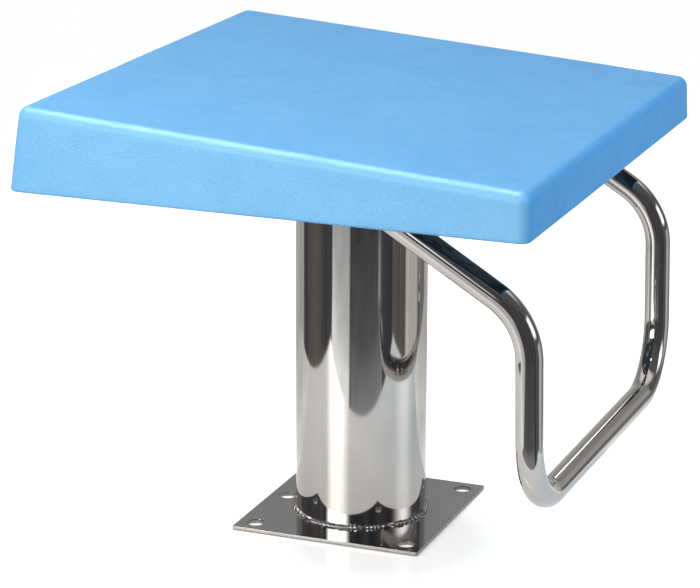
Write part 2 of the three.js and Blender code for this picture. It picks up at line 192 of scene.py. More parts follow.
def close_mesh(mesh: bpy.types.Mesh, near: float = 1e-6) -> None:
    """Merges doubled vertices, drops faces without area and turns the rest outwards.

    Args:
        mesh: The mesh.
        near: The distance under which vertices count as doubled.
    """
    work = bmesh.new()
    work.from_mesh(mesh)
    bmesh.ops.remove_doubles(work, verts=work.verts, dist=near)
    bmesh.ops.dissolve_degenerate(work, edges=work.edges, dist=near / 4)
    bmesh.ops.recalc_face_normals(work, faces=work.faces)
    work.to_mesh(mesh)
    work.free()
    mesh.update()


def sine_relief(points: Array, shortest: float, longest: float, waves: int, seed: int) -> Array:
    """A soft irregular relief: sines of seeded directions, lengths and phases, summed.

    Args:
        points: Places, three numbers each.
        shortest: Shortest wavelength.
        longest: Longest wavelength.
        waves: How many sines are summed.
        seed: Seed of the draws.

    Returns:
        A value from 0 to 1 for each place.
    """
    draw = np.random.default_rng(seed)
    directions = draw.normal(size=(waves, 3))
    directions /= np.linalg.norm(directions, axis=1)[:, None]
    lengths = shortest * (longest / shortest) ** draw.random(waves)
    phases = draw.random(waves) * 2 * np.pi
    total = np.zeros(len(points))
    for direction, length, phase in zip(directions, lengths, phases):
        total += np.sin(points @ direction * (2 * np.pi / length) + phase)
    widest = 2.6 * math.sqrt(waves)
    return np.clip(0.5 + total / widest, 0, 1)


def lathe(profile: Array, sides: int, centre: Pair = (0.0, 0.0)) -> Array:
    """A profile turned round a vertical axis: x = r cos a, y = r sin a.

    Args:
        profile: Rows of radius and height.
        sides: Steps round the axis.
        centre: The axis's place.

    Returns:
        Rows and columns of vertices that wrap from the last column to the first.
    """
    angle = np.arange(sides) * 2 * np.pi / sides
    radius, height = profile[:, 0][:, None], profile[:, 1][:, None]
    x, y = centre[0] + radius * np.cos(angle), centre[1] + radius * np.sin(angle)
    return np.stack([x, y, height + 0 * angle], axis=-1)


def arc(centre: Pair, radius: float, start: float, end: float, steps: int) -> Array:
    """Points on an arc in a plane, from one angle in degrees to another."""
    a = np.radians(np.linspace(start, end, steps + 1))
    return np.stack([centre[0] + radius * np.cos(a), centre[1] + radius * np.sin(a)], axis=-1)


def round_corners(centres: list[Pair], radius: float, first: float, steps: int) -> Array:
    """A closed loop of four quarter arcs round their own centres, the first from an angle."""
    starts = [(first + 90 * k) % 360 for k in range(4)]
    return np.concatenate([arc(centre, radius, start, start + 90, steps)
                           for centre, start in zip(centres, starts)])


def ring_profile(inner: float, outer: float, low: float, high: float, edge: float) -> Array:
    """The closed profile of a ring with round edges, as radius and height, five for each edge."""
    near, far, bottom, top = inner + edge, outer - edge, low + edge, high - edge
    return round_corners([(near, bottom), (far, bottom), (far, top), (near, top)], edge, 180, 4)


def rounded_outline(length: float, width: float, radius: float, steps: int = 12) -> Array:
    """The outline of a rectangle with round corners, anticlockwise round the origin."""
    x, y = length / 2 - radius, width / 2 - radius
    return round_corners([(x, y), (-x, y), (-x, -y), (x, -y)], radius, 0, steps)


def circle(centre: Pair, radius: float, steps: int = 72) -> Array:
    """Points on a whole circle, anticlockwise, the first not repeated."""
    return arc(centre, radius, 0, 360, steps)[:-1]


def unit(vectors: Array) -> Array:
    """A vector, or each of several rows, brought to length one."""
    return vectors / np.linalg.norm(vectors, axis=-1, keepdims=True)


def offset_loop(loop: Array, distance: float) -> Array:
    """A closed loop moved to its left along its own normals.

    Args:
        loop: Rows of two numbers.
        distance: How far each point moves.

    Returns:
        The moved loop.
    """
    ahead, behind = np.roll(loop, -1, axis=0) - loop, loop - np.roll(loop, 1, axis=0)
    run = unit(unit(ahead) + unit(behind))
    return loop + distance * np.stack([-run[:, 1], run[:, 0]], axis=-1)


def drilled_plate(node: str, slot: Slot, finishes: list[Material], outline: Array,
                  holes: list[Array], low: float, high: float, edge: float) -> None:
    """Builds a flat plate with round edges and round holes, as the skin of a node.

    Each loop carries a profile that rounds both of its edges by a quarter arc, in the second
    finish, and the flat faces between the loops are filled with triangles in the first.

    Args:
        node: The node that the plate stands for.
        slot: Its slot.
        finishes: Materials of the faces and of the edges.
        outline: The outer loop, anticlockwise.
        holes: Loops of the holes, anticlockwise.
        low: Height of the underside.
        high: Height of the upper face.
        edge: Radius of the rounded edges.
    """
    turn = np.radians(np.linspace(0, 90, 4))
    inset = np.concatenate([edge * (1 - np.sin(turn)), edge * (1 - np.cos(turn))])
    height = np.concatenate([low + edge * (1 - np.cos(turn)), high - edge * (1 - np.sin(turn))])
    builder = MeshBuilder()
    loops = [(outline, 1.0)] + [(hole, -1.0) for hole in holes]
    firsts = []
    for loop, side in loops:
        rows = [np.column_stack([offset_loop(loop, side * i), np.full(len(loop), h)])
                for i, h in zip(inset, height)]
        firsts.append(builder.add_grid(np.stack(rows), finish=1))
    for row in (0, len(inset) - 1):
        flat = [offset_loop(loop, side * inset[row]) for loop, side in loops]
        numbers = np.concatenate([first + row * len(loop) + np.arange(len(loop))
                                  for first, (loop, _) in zip(firsts, loops)])
        corners = tessellate_polygon([[Vector((x, y, 0.0)) for x, y in loop] for loop in flat])
        builder.add_faces(numbers[np.array(corners)])
    builder.build(node + "_skin", finishes, slot, node, crease=32, flat=True)


def build_bead(name: str, node: str, weld: Material, seam: Array, skin: Array) -> None:
    """Builds a weld bead from its skin and the seam that it lies on.

    Args:
        name: The piece's name.
        node: The node that it stands for.
        weld: Its material.
        seam: The places along the seam.
        skin: Rows across the bead by places along it.
    """
    builder = MeshBuilder()
    builder.add_grid(np.concatenate([seam[None], skin]), closed=True)
    builder.build(name, [weld], Slot.WELD_METAL, node, crease=60)


# --------- finishes


def opaque(value: object) -> object:
    """A colour with its alpha, or a socket as it is."""
    return (*value, 1.0) if isinstance(value, tuple) and len(value) == 3 else value


class NodeGraph:
    """A node tree that is filled by short calls."""

    def __init__(self, tree: bpy.types.NodeTree) -> None:
        """Empties the tree."""
        self.tree = tree
        tree.nodes.clear()

    def add(self, kind: str, settings: dict | None = None, **inputs: object) -> bpy.types.Node:
        """Adds a node.

        Args:
            kind: The node's type, without its prefix.
            settings: Its own settings by name.
            inputs: Its sockets by name, with _ for a space, or by number as s0, s1 and so on.

        Returns:
            The node.
        """
        node = self.tree.nodes.new("ShaderNode" + kind)
        for key, value in (settings or {}).items():
            setattr(node, key, value)
        for key, value in inputs.items():
            numbered = key[0] == "s" and key[1:].isdigit()
            socket = node.inputs[int(key[1:]) if numbered else key.replace("_", " ")]
            if isinstance(value, Socket):
                self.tree.links.new(value, socket)
            else:
                socket.default_value = value
        return node

    def math(self, operation: str, *values: object) -> Socket:
        """A sum, product or other number worked out of others."""
        numbered = {f"s{i}": value for i, value in enumerate(values)}
        return self.add("Math", {"operation": operation}, **numbered).outputs[0]

    def mix(self, factor: object, low: object, high: object, blend: str = "MIX") -> Socket:
        """Two colours blended by a factor."""
        settings = {"data_type": "RGBA", "blend_type": blend}
        return self.add("Mix", settings, s0=factor, s6=opaque(low), s7=opaque(high)).outputs[2]

    def scaled(self, colour: Socket, factor: Socket) -> Socket:
        """A colour made brighter or darker by a factor."""
        return self.add("VectorMath", {"operation": "SCALE"}, s0=colour, Scale=factor).outputs[0]

    def along(self, vector: Socket, direction: Array) -> Socket:
        """How far a vector reaches in a direction."""
        dot = {"operation": "DOT_PRODUCT"}
        return self.add("VectorMath", dot, s0=vector, s1=tuple(direction)).outputs["Value"]

    def span(self, value: Socket, low: float, high: float, to_low: float = 0.0,
             to_high: float = 1.0) -> Socket:
        """A number taken from one range to another and kept in it."""
        return self.add("MapRange", None, Value=value, From_Min=low, From_Max=high,
                        To_Min=to_low, To_Max=to_high).outputs[0]

    def place(self) -> Socket:
        """The place on the object, in metres."""
        return self.add("TexCoord").outputs["Object"]

    def stretched(self, vector: Socket, scale: Triple) -> Socket:
        """A place scaled along its axes."""
        return self.add("Mapping", None, Vector=vector, Scale=scale).outputs[0]

    def noise(self, vector: Socket, size: float, detail: float = 2.0, rough: float = 0.5,
              output: str = "Fac") -> Socket:
        """Cloudy noise whose features are about a size in the vector's units."""
        return self.add("TexNoise", None, Vector=vector, Scale=1 / size, Detail=detail,
                        Roughness=rough).outputs[output]

    def bent(self, vector: Socket, size: float, detail: float, amount: float) -> Socket:
        """Places pushed about by noise of a size."""
        push = self.noise(vector, size, detail, output="Color")
        return self.add("MixRGB", {"blend_type": "LINEAR_LIGHT"}, Fac=amount, Color1=vector,
                        Color2=push).outputs[0]

    def bump(self, height: Socket, depth: float, strength: float = 1.0,
             **normal: Socket) -> Socket:
        """A bumped normal from a height of 0 to 1 and a depth in metres."""
        return self.add("Bump", None, Height=height, Distance=depth, Strength=strength,
                        **normal).outputs[0]

    def surface(self, **inputs: object) -> None:
        """The principled shader and the output that it goes to."""
        shader = self.add("BsdfPrincipled", None, **inputs)
        self.add("OutputMaterial", None, Surface=shader.outputs[0])

    def one_sided(self, shader: bpy.types.Node) -> None:
        """Sends a shader to the output for the front of faces, whose back isn't seen.

        Args:
            shader: The shader.
        """
        nothing = self.add("BsdfTransparent").outputs[0]
        behind = self.add("NewGeometry").outputs["Backfacing"]
        both = self.add("MixShader", None, s0=behind, s1=shader.outputs[0], s2=nothing)
        self.add("OutputMaterial", None, Surface=both.outputs[0])


def new_material(name: str) -> tuple[Material, NodeGraph, Socket]:
    """Makes a material.

    Args:
        name: Its name.

    Returns:
        The material, its empty node graph and the place on the object.
    """
    material = bpy.data.materials.new(name)
    material.use_nodes = True
    graph = NodeGraph(material.node_tree)
    return material, graph, graph.place()


@dataclass(frozen=True)
class GelCoat:
    """Blue gel coat with a pebbled slip-resistant grain."""

    colour: Colour = (0.086, 0.362, 0.76)
    cloud: Colour = (0.102, 0.392, 0.80)
    cloud_size: float = 0.09
    refraction: float = 1.33
    gloss: Pair = (0.31, 0.40)
    gloss_size: float = 0.02
    pebble: float = 0.0021
    pebble_stretch: Triple = (0.85, 0.85, 1.25)
    pebble_depth: float = 0.00020
    pebble_wear: Pair = (1.03, 0.93)
    speck: float = 0.0010
    speck_depth: float = 0.00018

    def material(self) -> Material:
        """Builds the material: clouded colour, two sizes of grain and an uneven gloss.

        Returns:
            The material.
        """
        material, graph, place = new_material("gel_coat")
        clouds = graph.span(graph.noise(place, self.cloud_size, 3.0, 0.55), 0.35, 0.65)
        bent = graph.bent(place, 0.006, 1.0, 0.002)
        pebbles = graph.add("TexVoronoi", {"feature": "SMOOTH_F1"}, Scale=1 / self.pebble,
                            Vector=graph.stretched(bent, self.pebble_stretch)).outputs["Distance"]
        specks = graph.noise(place, self.speck, 2.0, 0.6)
        worn = graph.span(pebbles, 0.25, 0.75, *self.pebble_wear)
        colour = graph.mix(1.0, graph.mix(clouds, self.colour, self.cloud), worn, "MULTIPLY")
        grain = graph.bump(pebbles, self.pebble_depth)
        grain = graph.bump(specks, self.speck_depth, Normal=grain)
        gloss = graph.span(graph.noise(place, self.gloss_size), 0.3, 0.7, *self.gloss)
        graph.surface(Base_Color=colour, Roughness=gloss, Normal=grain, IOR=self.refraction)
        return material


@dataclass(frozen=True)
class LaminateBack:
    """The unpolished back of the moulding: resin over chopped strands, tinted by the gel coat."""

    resin: Colour = (0.030, 0.075, 0.135)
    strand: Colour = (0.105, 0.150, 0.190)
    strand_scales: tuple = ((260, 34, 34), (34, 260, 34), (150, 170, 40))
    strand_share: float = 0.7
    strand_depth: float = 0.00025
    lump_size: float = 0.012
    lump_depth: float = 0.0006
    gloss: Pair = (0.36, 0.58)
    refraction: float = 1.52

    def material(self) -> Material:
        """Builds the material: crossing strands in a lumpy resin.

        Returns:
            The material.
        """
        material, graph, place = new_material("laminate_back")
        bent = graph.bent(place, 0.03, 2.0, 0.012)
        layers = [graph.span(graph.noise(graph.stretched(bent, scale), 1.0, 3.0), 0.52, 0.68)
                  for scale in self.strand_scales]
        strands = graph.math("MAXIMUM", graph.math("MAXIMUM", *layers[:2]), layers[2])
        lumps = graph.noise(place, self.lump_size)
        share = graph.math("MULTIPLY", strands, self.strand_share)
        relief = graph.bump(lumps, self.lump_depth, 0.8)
        relief = graph.bump(strands, self.strand_depth, 0.8, Normal=relief)
        graph.surface(Base_Color=graph.mix(share, self.resin, self.strand), Normal=relief,
                      Roughness=graph.span(lumps, 0.3, 0.7, *self.gloss), IOR=self.refraction)
        return material


class Polish(Enum):
    """How far a steel surface is worked: roughness, its spread and the depth of its lines."""

    MIRROR = (0.045, 0.02, 0.0)
    SATIN = (0.24, 0.06, 0.000004)
    BRUSHED = (0.32, 0.08, 0.000012)
    CUT = (0.42, 0.10, 0.00002)


@dataclass(frozen=True)
class Steel:
    """Stainless steel at one grade of polish."""

    name: str
    polish: Polish
    colour: Colour = (0.56, 0.54, 0.515)
    shade: Colour = (0.53, 0.51, 0.49)
    waviness: float = 0.00004
    wave_size: float = 0.045
    film_size: float = 0.05
    line_scale: Triple = (900.0, 900.0, 25.0)

    def material(self) -> Material:
        """Builds the material: uneven gloss, faint buffing lines and a slight waviness.

        Returns:
            The material.
        """
        material, graph, place = new_material(self.name)
        rough, spread, lines_depth = self.polish.value
        film = graph.noise(place, self.film_size, 3.0, 0.6)
        lines = graph.noise(graph.stretched(place, self.line_scale), 1.0)
        gloss = graph.math("ADD", graph.span(film, 0.3, 0.7, rough, rough + spread),
                           graph.span(lines, 0.4, 0.8, 0.0, spread / 2))
        normal = graph.bump(graph.noise(place, self.wave_size, 1.0), self.waviness)
        if lines_depth:
            normal = graph.bump(lines, lines_depth, Normal=normal)
        colour = graph.mix(graph.span(film, 0.35, 0.65), self.colour, self.shade)
        graph.surface(Base_Color=colour, Metallic=1.0, Roughness=gloss, Normal=normal)
        return material


@dataclass(frozen=True)
class WeldMetal:
    """A cleaned weld bead, a little duller than the tube, with a trace of straw and blue."""

    bare: Colour = (0.50, 0.52, 0.54)
    straw: Colour = (0.47, 0.44, 0.39)
    blue: Colour = (0.36, 0.38, 0.44)
    heat_size: float = 0.014
    pit_size: float = 0.0012
    pit_depth: float = 0.00009
    gloss: Pair = (0.06, 0.22)

    def material(self) -> Material:
        """Builds the material: heat tint in patches and a pitted surface.

        Returns:
            The material.
        """
        material, graph, place = new_material("weld_metal")
        heat = graph.noise(place, self.heat_size)
        pits = graph.noise(place, self.pit_size, 3.0, 0.6)
        colour = graph.mix(graph.span(heat, 0.5, 0.75, 0, 0.5), self.bare, self.straw)
        colour = graph.mix(graph.span(heat, 0.62, 0.8, 0, 0.5), colour, self.blue)
        graph.surface(Base_Color=colour, Metallic=1.0, Normal=graph.bump(pits, self.pit_depth, 0.9),
                      Roughness=graph.span(pits, 0.3, 0.7, *self.gloss))
        return material


@dataclass(frozen=True)
class TurnedBrass:
    """Brass of the threaded bushes, with turning lines round them."""

    fresh: Colour = (0.72, 0.56, 0.26)
    dull: Colour = (0.47, 0.36, 0.19)
    tarnish_size: float = 0.005
    line_scale: Triple = (60.0, 60.0, 6000.0)
    line_depth: float = 0.00002
    gloss: Pair = (0.28, 0.45)

    def material(self) -> Material:
        """Builds the material: tarnish in patches over fine level lines.

        Returns:
            The material.
        """
        material, graph, place = new_material("bush_brass")
        tarnish = graph.noise(place, self.tarnish_size, 3.0)
        lines = graph.noise(graph.stretched(place, self.line_scale), 1.0)
        colour = graph.mix(graph.span(tarnish, 0.35, 0.7), self.fresh, self.dull)
        gloss = graph.span(tarnish, 0.3, 0.7, *self.gloss)
        graph.surface(Base_Color=colour, Metallic=1.0, Roughness=gloss,
                      Normal=graph.bump(lines, self.line_depth, 0.7))
        return material


class Kit:
    """The block's finishes, made once; plates have one for their faces and one for edges."""

    def __init__(self) -> None:
        """Makes the materials."""
        # The base plate's face is a darker, greyer copy of the column's polished steel: painted
        # shade that dims its reflections.
        plate = Steel("dimmed_plate_steel", Polish.MIRROR, (0.44, 0.44, 0.44), (0.41, 0.41, 0.41),
                      0.000004)
        edge = Steel("plate_edge", Polish.SATIN, (0.36, 0.355, 0.35), (0.30, 0.296, 0.29))
        brushed = Steel("brushed_steel", Polish.BRUSHED)
        cut = Steel("cut_edge", Polish.CUT, (0.40, 0.39, 0.38), (0.30, 0.295, 0.29))
        self.gel = GelCoat().material()
        self.back = LaminateBack().material()
        self.mirror = Steel("polished_steel", Polish.MIRROR).material()
        self.satin = Steel("fastener_steel", Polish.SATIN).material()
        self.polished_plate = [plate.material(), edge.material()]
        self.brushed_plate = [brushed.material(), cut.material()]
        self.weld = WeldMetal().material()
        self.brass = TurnedBrass().material()


# --------- the platform


@dataclass
class PlatformMoulding:
    """The hollow platform: a drafted wedge of laminate with a rounded top edge."""

    kit: Kit
    front_x: float = 303 * MM
    rear_x: float = -292 * MM
    width: float = 637 * MM
    rim_height: float = 437.5 * MM
    rear_depth: float = 95.2 * MM
    front_depth: float = 52.5 * MM
    laminate: float = 5 * MM
    corner_radius: float = 13 * MM
    edge_radius: float = 11.5 * MM
    rim_outer_round: float = 3.4 * MM
    rim_inner_round: float = 1.0 * MM
    rear_draft: float = 0.11
    front_draft: float = 0.025
    side_draft: float = 0.08
    seat_height: float = 480 * MM
    cell: float = 4 * MM
    arc_steps: int = 4
    fillet_steps: int = 9
    wall_steps: int = 14
    rim_steps: int = 6
    lip_steps: int = 3
    inner_wall_steps: int = 9
    settling_turns: int = 8
    wave_depth: float = 0.22 * MM
    wave: tuple[float, float, int, int] = (0.05, 0.24, 14, 3)
    lump_depth: float = 0.5 * MM
    lump: tuple[float, float, int, int] = (0.014, 0.05, 26, 8)

    @property
    def fall(self) -> float:
        """How much the deck falls towards the front, for each unit of length."""
        return (self.rear_depth - self.front_depth) / (self.front_x - self.rear_x)

    @property
    def under(self) -> float:
        """Upright distance through the laminate of the slanting deck."""
        return self.laminate * math.hypot(1, self.fall)

    def deck(self, x: Array) -> Array:
        """Height of the deck's upper face, which falls evenly from the rear edge to the front."""
        return self.rim_height + self.rear_depth - self.fall * (x - self.rear_x)

    def perimeter(self) -> tuple[Array, Array, Array, int, int]:
        """Places round the platform, as corner-centre shares and outward angles.

        Four sides follow each other from the middle of one corner arc to the middle of the next:
        front, far, rear and near.

        Returns:
            Shares along X and Y from -1 to 1, outward angles, and the steps along X and Y.
        """
        arcs = self.arc_steps
        along_x, along_y = (round((size - 2 * self.corner_radius) / self.cell) + 2 * arcs
                            for size in (self.front_x - self.rear_x, self.width))
        half = np.radians(np.arange(arcs) * 45 / arcs)
        sides = []
        for quarter, steps in enumerate((along_y, along_x, along_y, along_x)):
            straight = np.linspace(-1, 1, steps - 2 * arcs + 1)
            along = np.concatenate([np.full(arcs, -1.0), straight, np.full(arcs - 1, 1.0)])
            turn = np.concatenate([half - np.pi / 4, 0 * straight, half[1:]])
            face = quarter * np.pi / 2
            cos, sin = np.round(np.cos(face)), np.round(np.sin(face))
            sides.append((cos - sin * along, sin + cos * along, face + turn))
        share_x, share_y, angle = (np.concatenate(parts) for parts in zip(*sides))
        return share_x, share_y, angle, along_x, along_y

    def rings(self, rows: Array) -> Array:
        """Rings round the platform.

        A ring's place is the corner centre's share of the length and width, less the drafts for
        its own height, plus the corner radius along the outward angle. Its height is worked out
        from its place, so the two are settled in turn a few times.

        Args:
            rows: For each ring its inset from the wall, its weight towards the deck, its drop
                under the deck and its rise over the rim.

        Returns:
            Rings by places by three numbers.
        """
        share_x, share_y, angle, _, _ = self.perimeter()
        inset, weight, drop, rise = (rows[:, k][:, None] for k in range(4))
        radius = self.corner_radius - inset
        z = np.full((len(rows), len(angle)), self.rim_height)
        for _ in range(self.settling_turns):
            lift = z - self.rim_height
            front = self.front_x - self.front_draft * lift - inset - radius
            rear = self.rear_x + self.rear_draft * lift + inset + radius
            side = self.width / 2 - self.side_draft * lift - inset - radius
            x = (front + rear) / 2 + share_x * (front - rear) / 2 + radius * np.cos(angle)
            z = weight * (self.deck(x) - drop) + (1 - weight) * (self.rim_height + rise)
        y = share_y * side + radius * np.sin(angle)
        return np.stack([x, y, z], axis=-1)

    def section_rows(self) -> tuple[Array, int]:
        """The wall's section from the deck's edge over the fillet, round the rim and up inside.

        Returns:
            The rows for rings(), and the number of the first one of the laminate's back.
        """
        fillet, inner_fillet = self.edge_radius, self.edge_radius - self.laminate
        outer, inner = self.rim_outer_round, self.rim_inner_round
        thick, under = self.laminate, self.under
        quarter = np.radians(np.linspace(0, 90, self.rim_steps + 1)[1:])
        rows = [(fillet * (1 - np.cos(a)), 1.0, fillet * (1 - np.sin(a)), 0.0)
                for a in np.radians(np.linspace(90, 0, self.fillet_steps + 1))]
        rows += [(0.0, weight, fillet, outer)
                 for weight in np.linspace(1, 0, self.wall_steps + 1)[1:]]
        rows += [(outer * (1 - np.cos(a)), 0.0, 0.0, outer * (1 - np.sin(a))) for a in quarter]
        rows += [(thick - inner + inner * np.sin(a), 0.0, 0.0, inner * (1 - np.cos(a)))
                 for a in np.radians(np.linspace(0, 90, self.lip_steps + 1))]
        inner_first = len(rows) - 1
        rows += [(thick, weight, under + inner_fillet, inner)
                 for weight in np.linspace(0, 1, self.inner_wall_steps + 1)[1:]]
        rows += [(thick + inner_fillet * (1 - np.cos(a)), 1.0,
                  under + inner_fillet * (1 - np.sin(a)), 0.0) for a in quarter]
        return np.array(rows), inner_first

    def deck_patch(self, ring: Array, numbers: Array, first_new: int) -> tuple[Array, Array]:
        """Fills a ring with a patch blended from its four sides.

        A point is the sum of the blends between facing sides, less the blend of the corners.

        Args:
            ring: The ring's places.
            numbers: The ring's vertex numbers.
            first_new: The number of the first new vertex inside.

        Returns:
            The new vertices inside and the quads.
        """
        _, _, _, nx, ny = self.perimeter()
        at = np.arange(len(ring))
        front = at[:ny + 1]
        far = at[ny:ny + nx + 1][::-1]
        rear = at[ny + nx:2 * ny + nx + 1][::-1]
        near = np.append(at[2 * ny + nx:], 0)
        u = np.linspace(0, 1, nx + 1)[:, None, None]
        v = np.linspace(0, 1, ny + 1)[None, :, None]
        left, right = ring[rear][None, :, :], ring[front][None, :, :]
        bottom, top = ring[near][:, None, :], ring[far][:, None, :]
        patch = (1 - v) * bottom + v * top + (1 - u) * left + u * right - (
            (1 - u) * (1 - v) * ring[near[0]] + u * (1 - v) * ring[near[-1]]
            + (1 - u) * v * ring[far[0]] + u * v * ring[far[-1]])
        index = np.full((nx + 1, ny + 1), -1)
        index[1:-1, 1:-1] = first_new + np.arange((nx - 1) * (ny - 1)).reshape(nx - 1, ny - 1)
        index[0, :], index[-1, :] = numbers[rear], numbers[front]
        index[:, 0], index[:, -1] = numbers[near], numbers[far]
        quads = np.stack([index[:-1, :-1], index[1:, :-1], index[1:, 1:], index[:-1, 1:]], axis=-1)
        return patch[1:-1, 1:-1].reshape(-1, 3), quads.reshape(-1, 4)

    def build(self) -> None:
        """Builds the laminate as one closed skin, with the gel coat outside and its back inside."""
        rows, inner_first = self.section_rows()
        rings = self.rings(rows)
        count = rings.shape[1]
        builder = MeshBuilder()
        finish = np.repeat(np.arange(len(rows) - 1) >= inner_first, count).astype(int)
        builder.add_grid(rings, finish=finish)
        for row, side in ((0, 0), (len(rows) - 1, 1)):
            numbers = row * count + np.arange(count)
            inside, patch = self.deck_patch(rings[row], numbers, builder.count)
            builder.add_points(inside)
            builder.add_faces(patch, side)
        piece = builder.build("platform_shell_skin", [self.kit.gel, self.kit.back],
                              Slot.GEL_COAT, "platform_shell")
        self.roughen(piece.data)

    def roughen(self, mesh: bpy.types.Mesh) -> None:
        """Moves vertices along their normals: in by a slow wave outside, out by lumps behind.

        A vertex is outside if any face at it has the first finish. The wave and the lumps are
        sines, given as shortest and longest length, count and seed.

        Args:
            mesh: The shell's mesh.
        """
        points, normals = (read(mesh.vertices, name, np.float32, 3).reshape(-1, 3).astype(float)
                           for name in ("co", "normal"))
        sides = read(mesh.polygons, "loop_total", np.int32)
        outer = np.repeat(read(mesh.polygons, "material_index", np.int32), sides) == 0
        outside = np.zeros(len(mesh.vertices), bool)
        np.logical_or.at(outside, read(mesh.loops, "vertex_index", np.int32), outer)
        wave = self.wave_depth * sine_relief(points, *self.wave)
        lumps = self.lump_depth * sine_relief(points, *self.lump)
        depth = np.where(outside, wave, -lumps)
        moved = points - normals * depth[:, None]
        mesh.vertices.foreach_set("co", moved.astype(np.float32).ravel())
        mesh.update()


@dataclass
class Stiffener:
    """A pad or rib under the deck, lofted from a rounded foot to a flange on the laminate."""

    foot: tuple[float, float, float, float]
    top: tuple[float, float, float, float]
    flange: float
    level: float | None = None
    depth: float = 0.0
    corner: float = 6 * MM
    edge: float = 3 * MM
    flange_thickness: float = 1.0 * MM
    sunk: Pair = (0.5 * MM, 0.9 * MM)

    def ring(self, box: Array, radius: float) -> Array:
        """A rounded rectangle, anticlockwise, with as many points on every side.

        Args:
            box: Its least and greatest X and Y.
            radius: The corners' radius.

        Returns:
            Rows of two numbers.
        """
        x0, x1, y0, y1 = box
        points = 7
        loop = rounded_outline(x1 - x0, y1 - y0, radius, points - 1)
        share = np.linspace(0, 1, 40)[1:-1, None]
        out = []
        for block in np.split(loop, 4):
            after = loop[(len(out) // 2 + 1) * points % len(loop)]
            out += [block, block[-1] * (1 - share) + after * share]
        return np.concatenate(out) + [(x0 + x1) / 2, (y0 + y1) / 2]

    def stages(self) -> list[tuple[Array, float, float, float]]:
        """The rings from the underside over its rounded edge, up the sides and round the flange.

        Returns:
            For each ring its box, its corner radius, its weight (0 at the underside and 1 at the
            laminate's inner face) and its rise.
        """
        foot, top = np.array(self.foot), np.array(self.top)
        grow = np.array([-1.0, 1.0, -1.0, 1.0])
        edge, thick, wide = self.edge, self.flange_thickness, self.corner + self.flange
        stages = []
        for a in np.radians(np.linspace(0, 90, 5)):
            inset = edge * (1 - np.sin(a))
            radius = max(self.corner - inset, 0.3 * MM)
            stages.append((foot - grow * inset, radius, 0, edge * (1 - np.cos(a))))
        for weight in np.linspace(0.15, 1, 6):
            box = foot + (top - foot) * weight
            stages.append((box, self.corner, weight, edge * (1 - weight) - thick * weight))
        swell = top + grow * self.flange
        start = self.flange * 0.2
        stages.append((top + grow * start, self.corner + start, 1, -thick * 1.1))
        stages.append((swell, wide, 1, -thick * 0.5))
        stages.append((swell + grow * 0.6 * MM, wide, 1, self.sunk[0]))
        stages.append((top, self.corner, 1, self.sunk[1]))
        return stages

    def surfaces(self, builder: MeshBuilder, platform: PlatformMoulding) -> None:
        """Adds the stiffener to a builder: its rings, each end closed to a point in its middle.

        Args:
            builder: Where the surfaces go.
            platform: The moulding that carries the stiffener.
        """
        rings = []
        for box, radius, weight, rise in self.stages():
            flat = self.ring(box, radius)
            ceiling = platform.deck(flat[:, 0]) - platform.under
            low = ceiling - self.depth if self.level is None else self.level
            rings.append(np.column_stack([flat, low * (1 - weight) + ceiling * weight + rise]))
        stack = np.stack(rings)
        middle = stack.mean(axis=1)
        caps = [np.repeat(middle[end][None, None, :], stack.shape[1], axis=1) for end in (0, -1)]
        builder.add_grid(np.concatenate([caps[0], stack, caps[1]]))


@dataclass
class Underdeck:
    """Everything that stiffens the platform from below and carries the plates."""

    platform: PlatformMoulding
    centre_pad: float = 250 * MM
    side_pad: Pair = (140 * MM, 96 * MM)
    side_pad_x: float = 62 * MM
    side_pad_y: float = 252.5 * MM
    pad_flange: float = 5 * MM
    taper: float = 5 * MM
    rib_width: float = 40 * MM
    rib_flange: float = 1.5 * MM
    long_rib_depth: float = 12 * MM
    long_rib_y: float = 170 * MM
    long_rib_ends: tuple[Pair, Pair] = ((-272 * MM, 293.5 * MM), (-278.5 * MM, 298.5 * MM))
    cross_rib_depth: float = 15 * MM
    cross_rib_x: Triple = (-212 * MM, 62 * MM, 233 * MM)
    cross_rib_ends: tuple[Pair, Pair] = ((-304.5 * MM, 304.5 * MM), (-309.0 * MM, 309.0 * MM))

    def pad(self, x: float, y: float, length: float, width: float) -> Stiffener:
        """A pad with a level seat.

        Args:
            x: Its middle.
            y: Its middle.
            length: Its size along X.
            width: Its size along Y.

        Returns:
            The pad.
        """
        top = (x - length / 2, x + length / 2, y - width / 2, y + width / 2)
        foot = tuple(side + turn * self.taper for side, turn in zip(top, (1, -1, 1, -1)))
        return Stiffener(foot, top, self.pad_flange, level=self.platform.seat_height)

    def rib(self, middle: float, ends: tuple[Pair, Pair], depth: float, cross: bool) -> Stiffener:
        """A rib from wall to wall.

        Args:
            middle: The place of its middle line.
            ends: Where its top and its foot end.
            depth: Its depth under the laminate.
            cross: Along Y instead of along X.

        Returns:
            The rib.
        """
        half = self.rib_width / 2
        low, high = middle - half, middle + half
        widths = (low, high), (low + self.taper, high - self.taper)
        top, foot = [(*wide, *run) if cross else (*run, *wide) for wide, run in zip(widths, ends)]
        return Stiffener(foot, top, self.rib_flange, depth=depth)

    def build(self) -> None:
        """Builds the pads and ribs as one piece."""
        sides = (-1, 1)
        parts = [self.pad(0.0, 0.0, self.centre_pad, self.centre_pad)]
        parts += [self.pad(self.side_pad_x, s * self.side_pad_y, *self.side_pad) for s in sides]
        parts += [self.rib(s * self.long_rib_y, self.long_rib_ends, self.long_rib_depth, False)
                  for s in sides]
        parts += [self.rib(x, self.cross_rib_ends, self.cross_rib_depth, True)
                  for x in self.cross_rib_x]
        builder = MeshBuilder()
        for part in parts:
            part.surfaces(builder, self.platform)
        builder.build("underdeck_stiffening", [self.platform.kit.back], Slot.GEL_COAT)


# --------- fasteners


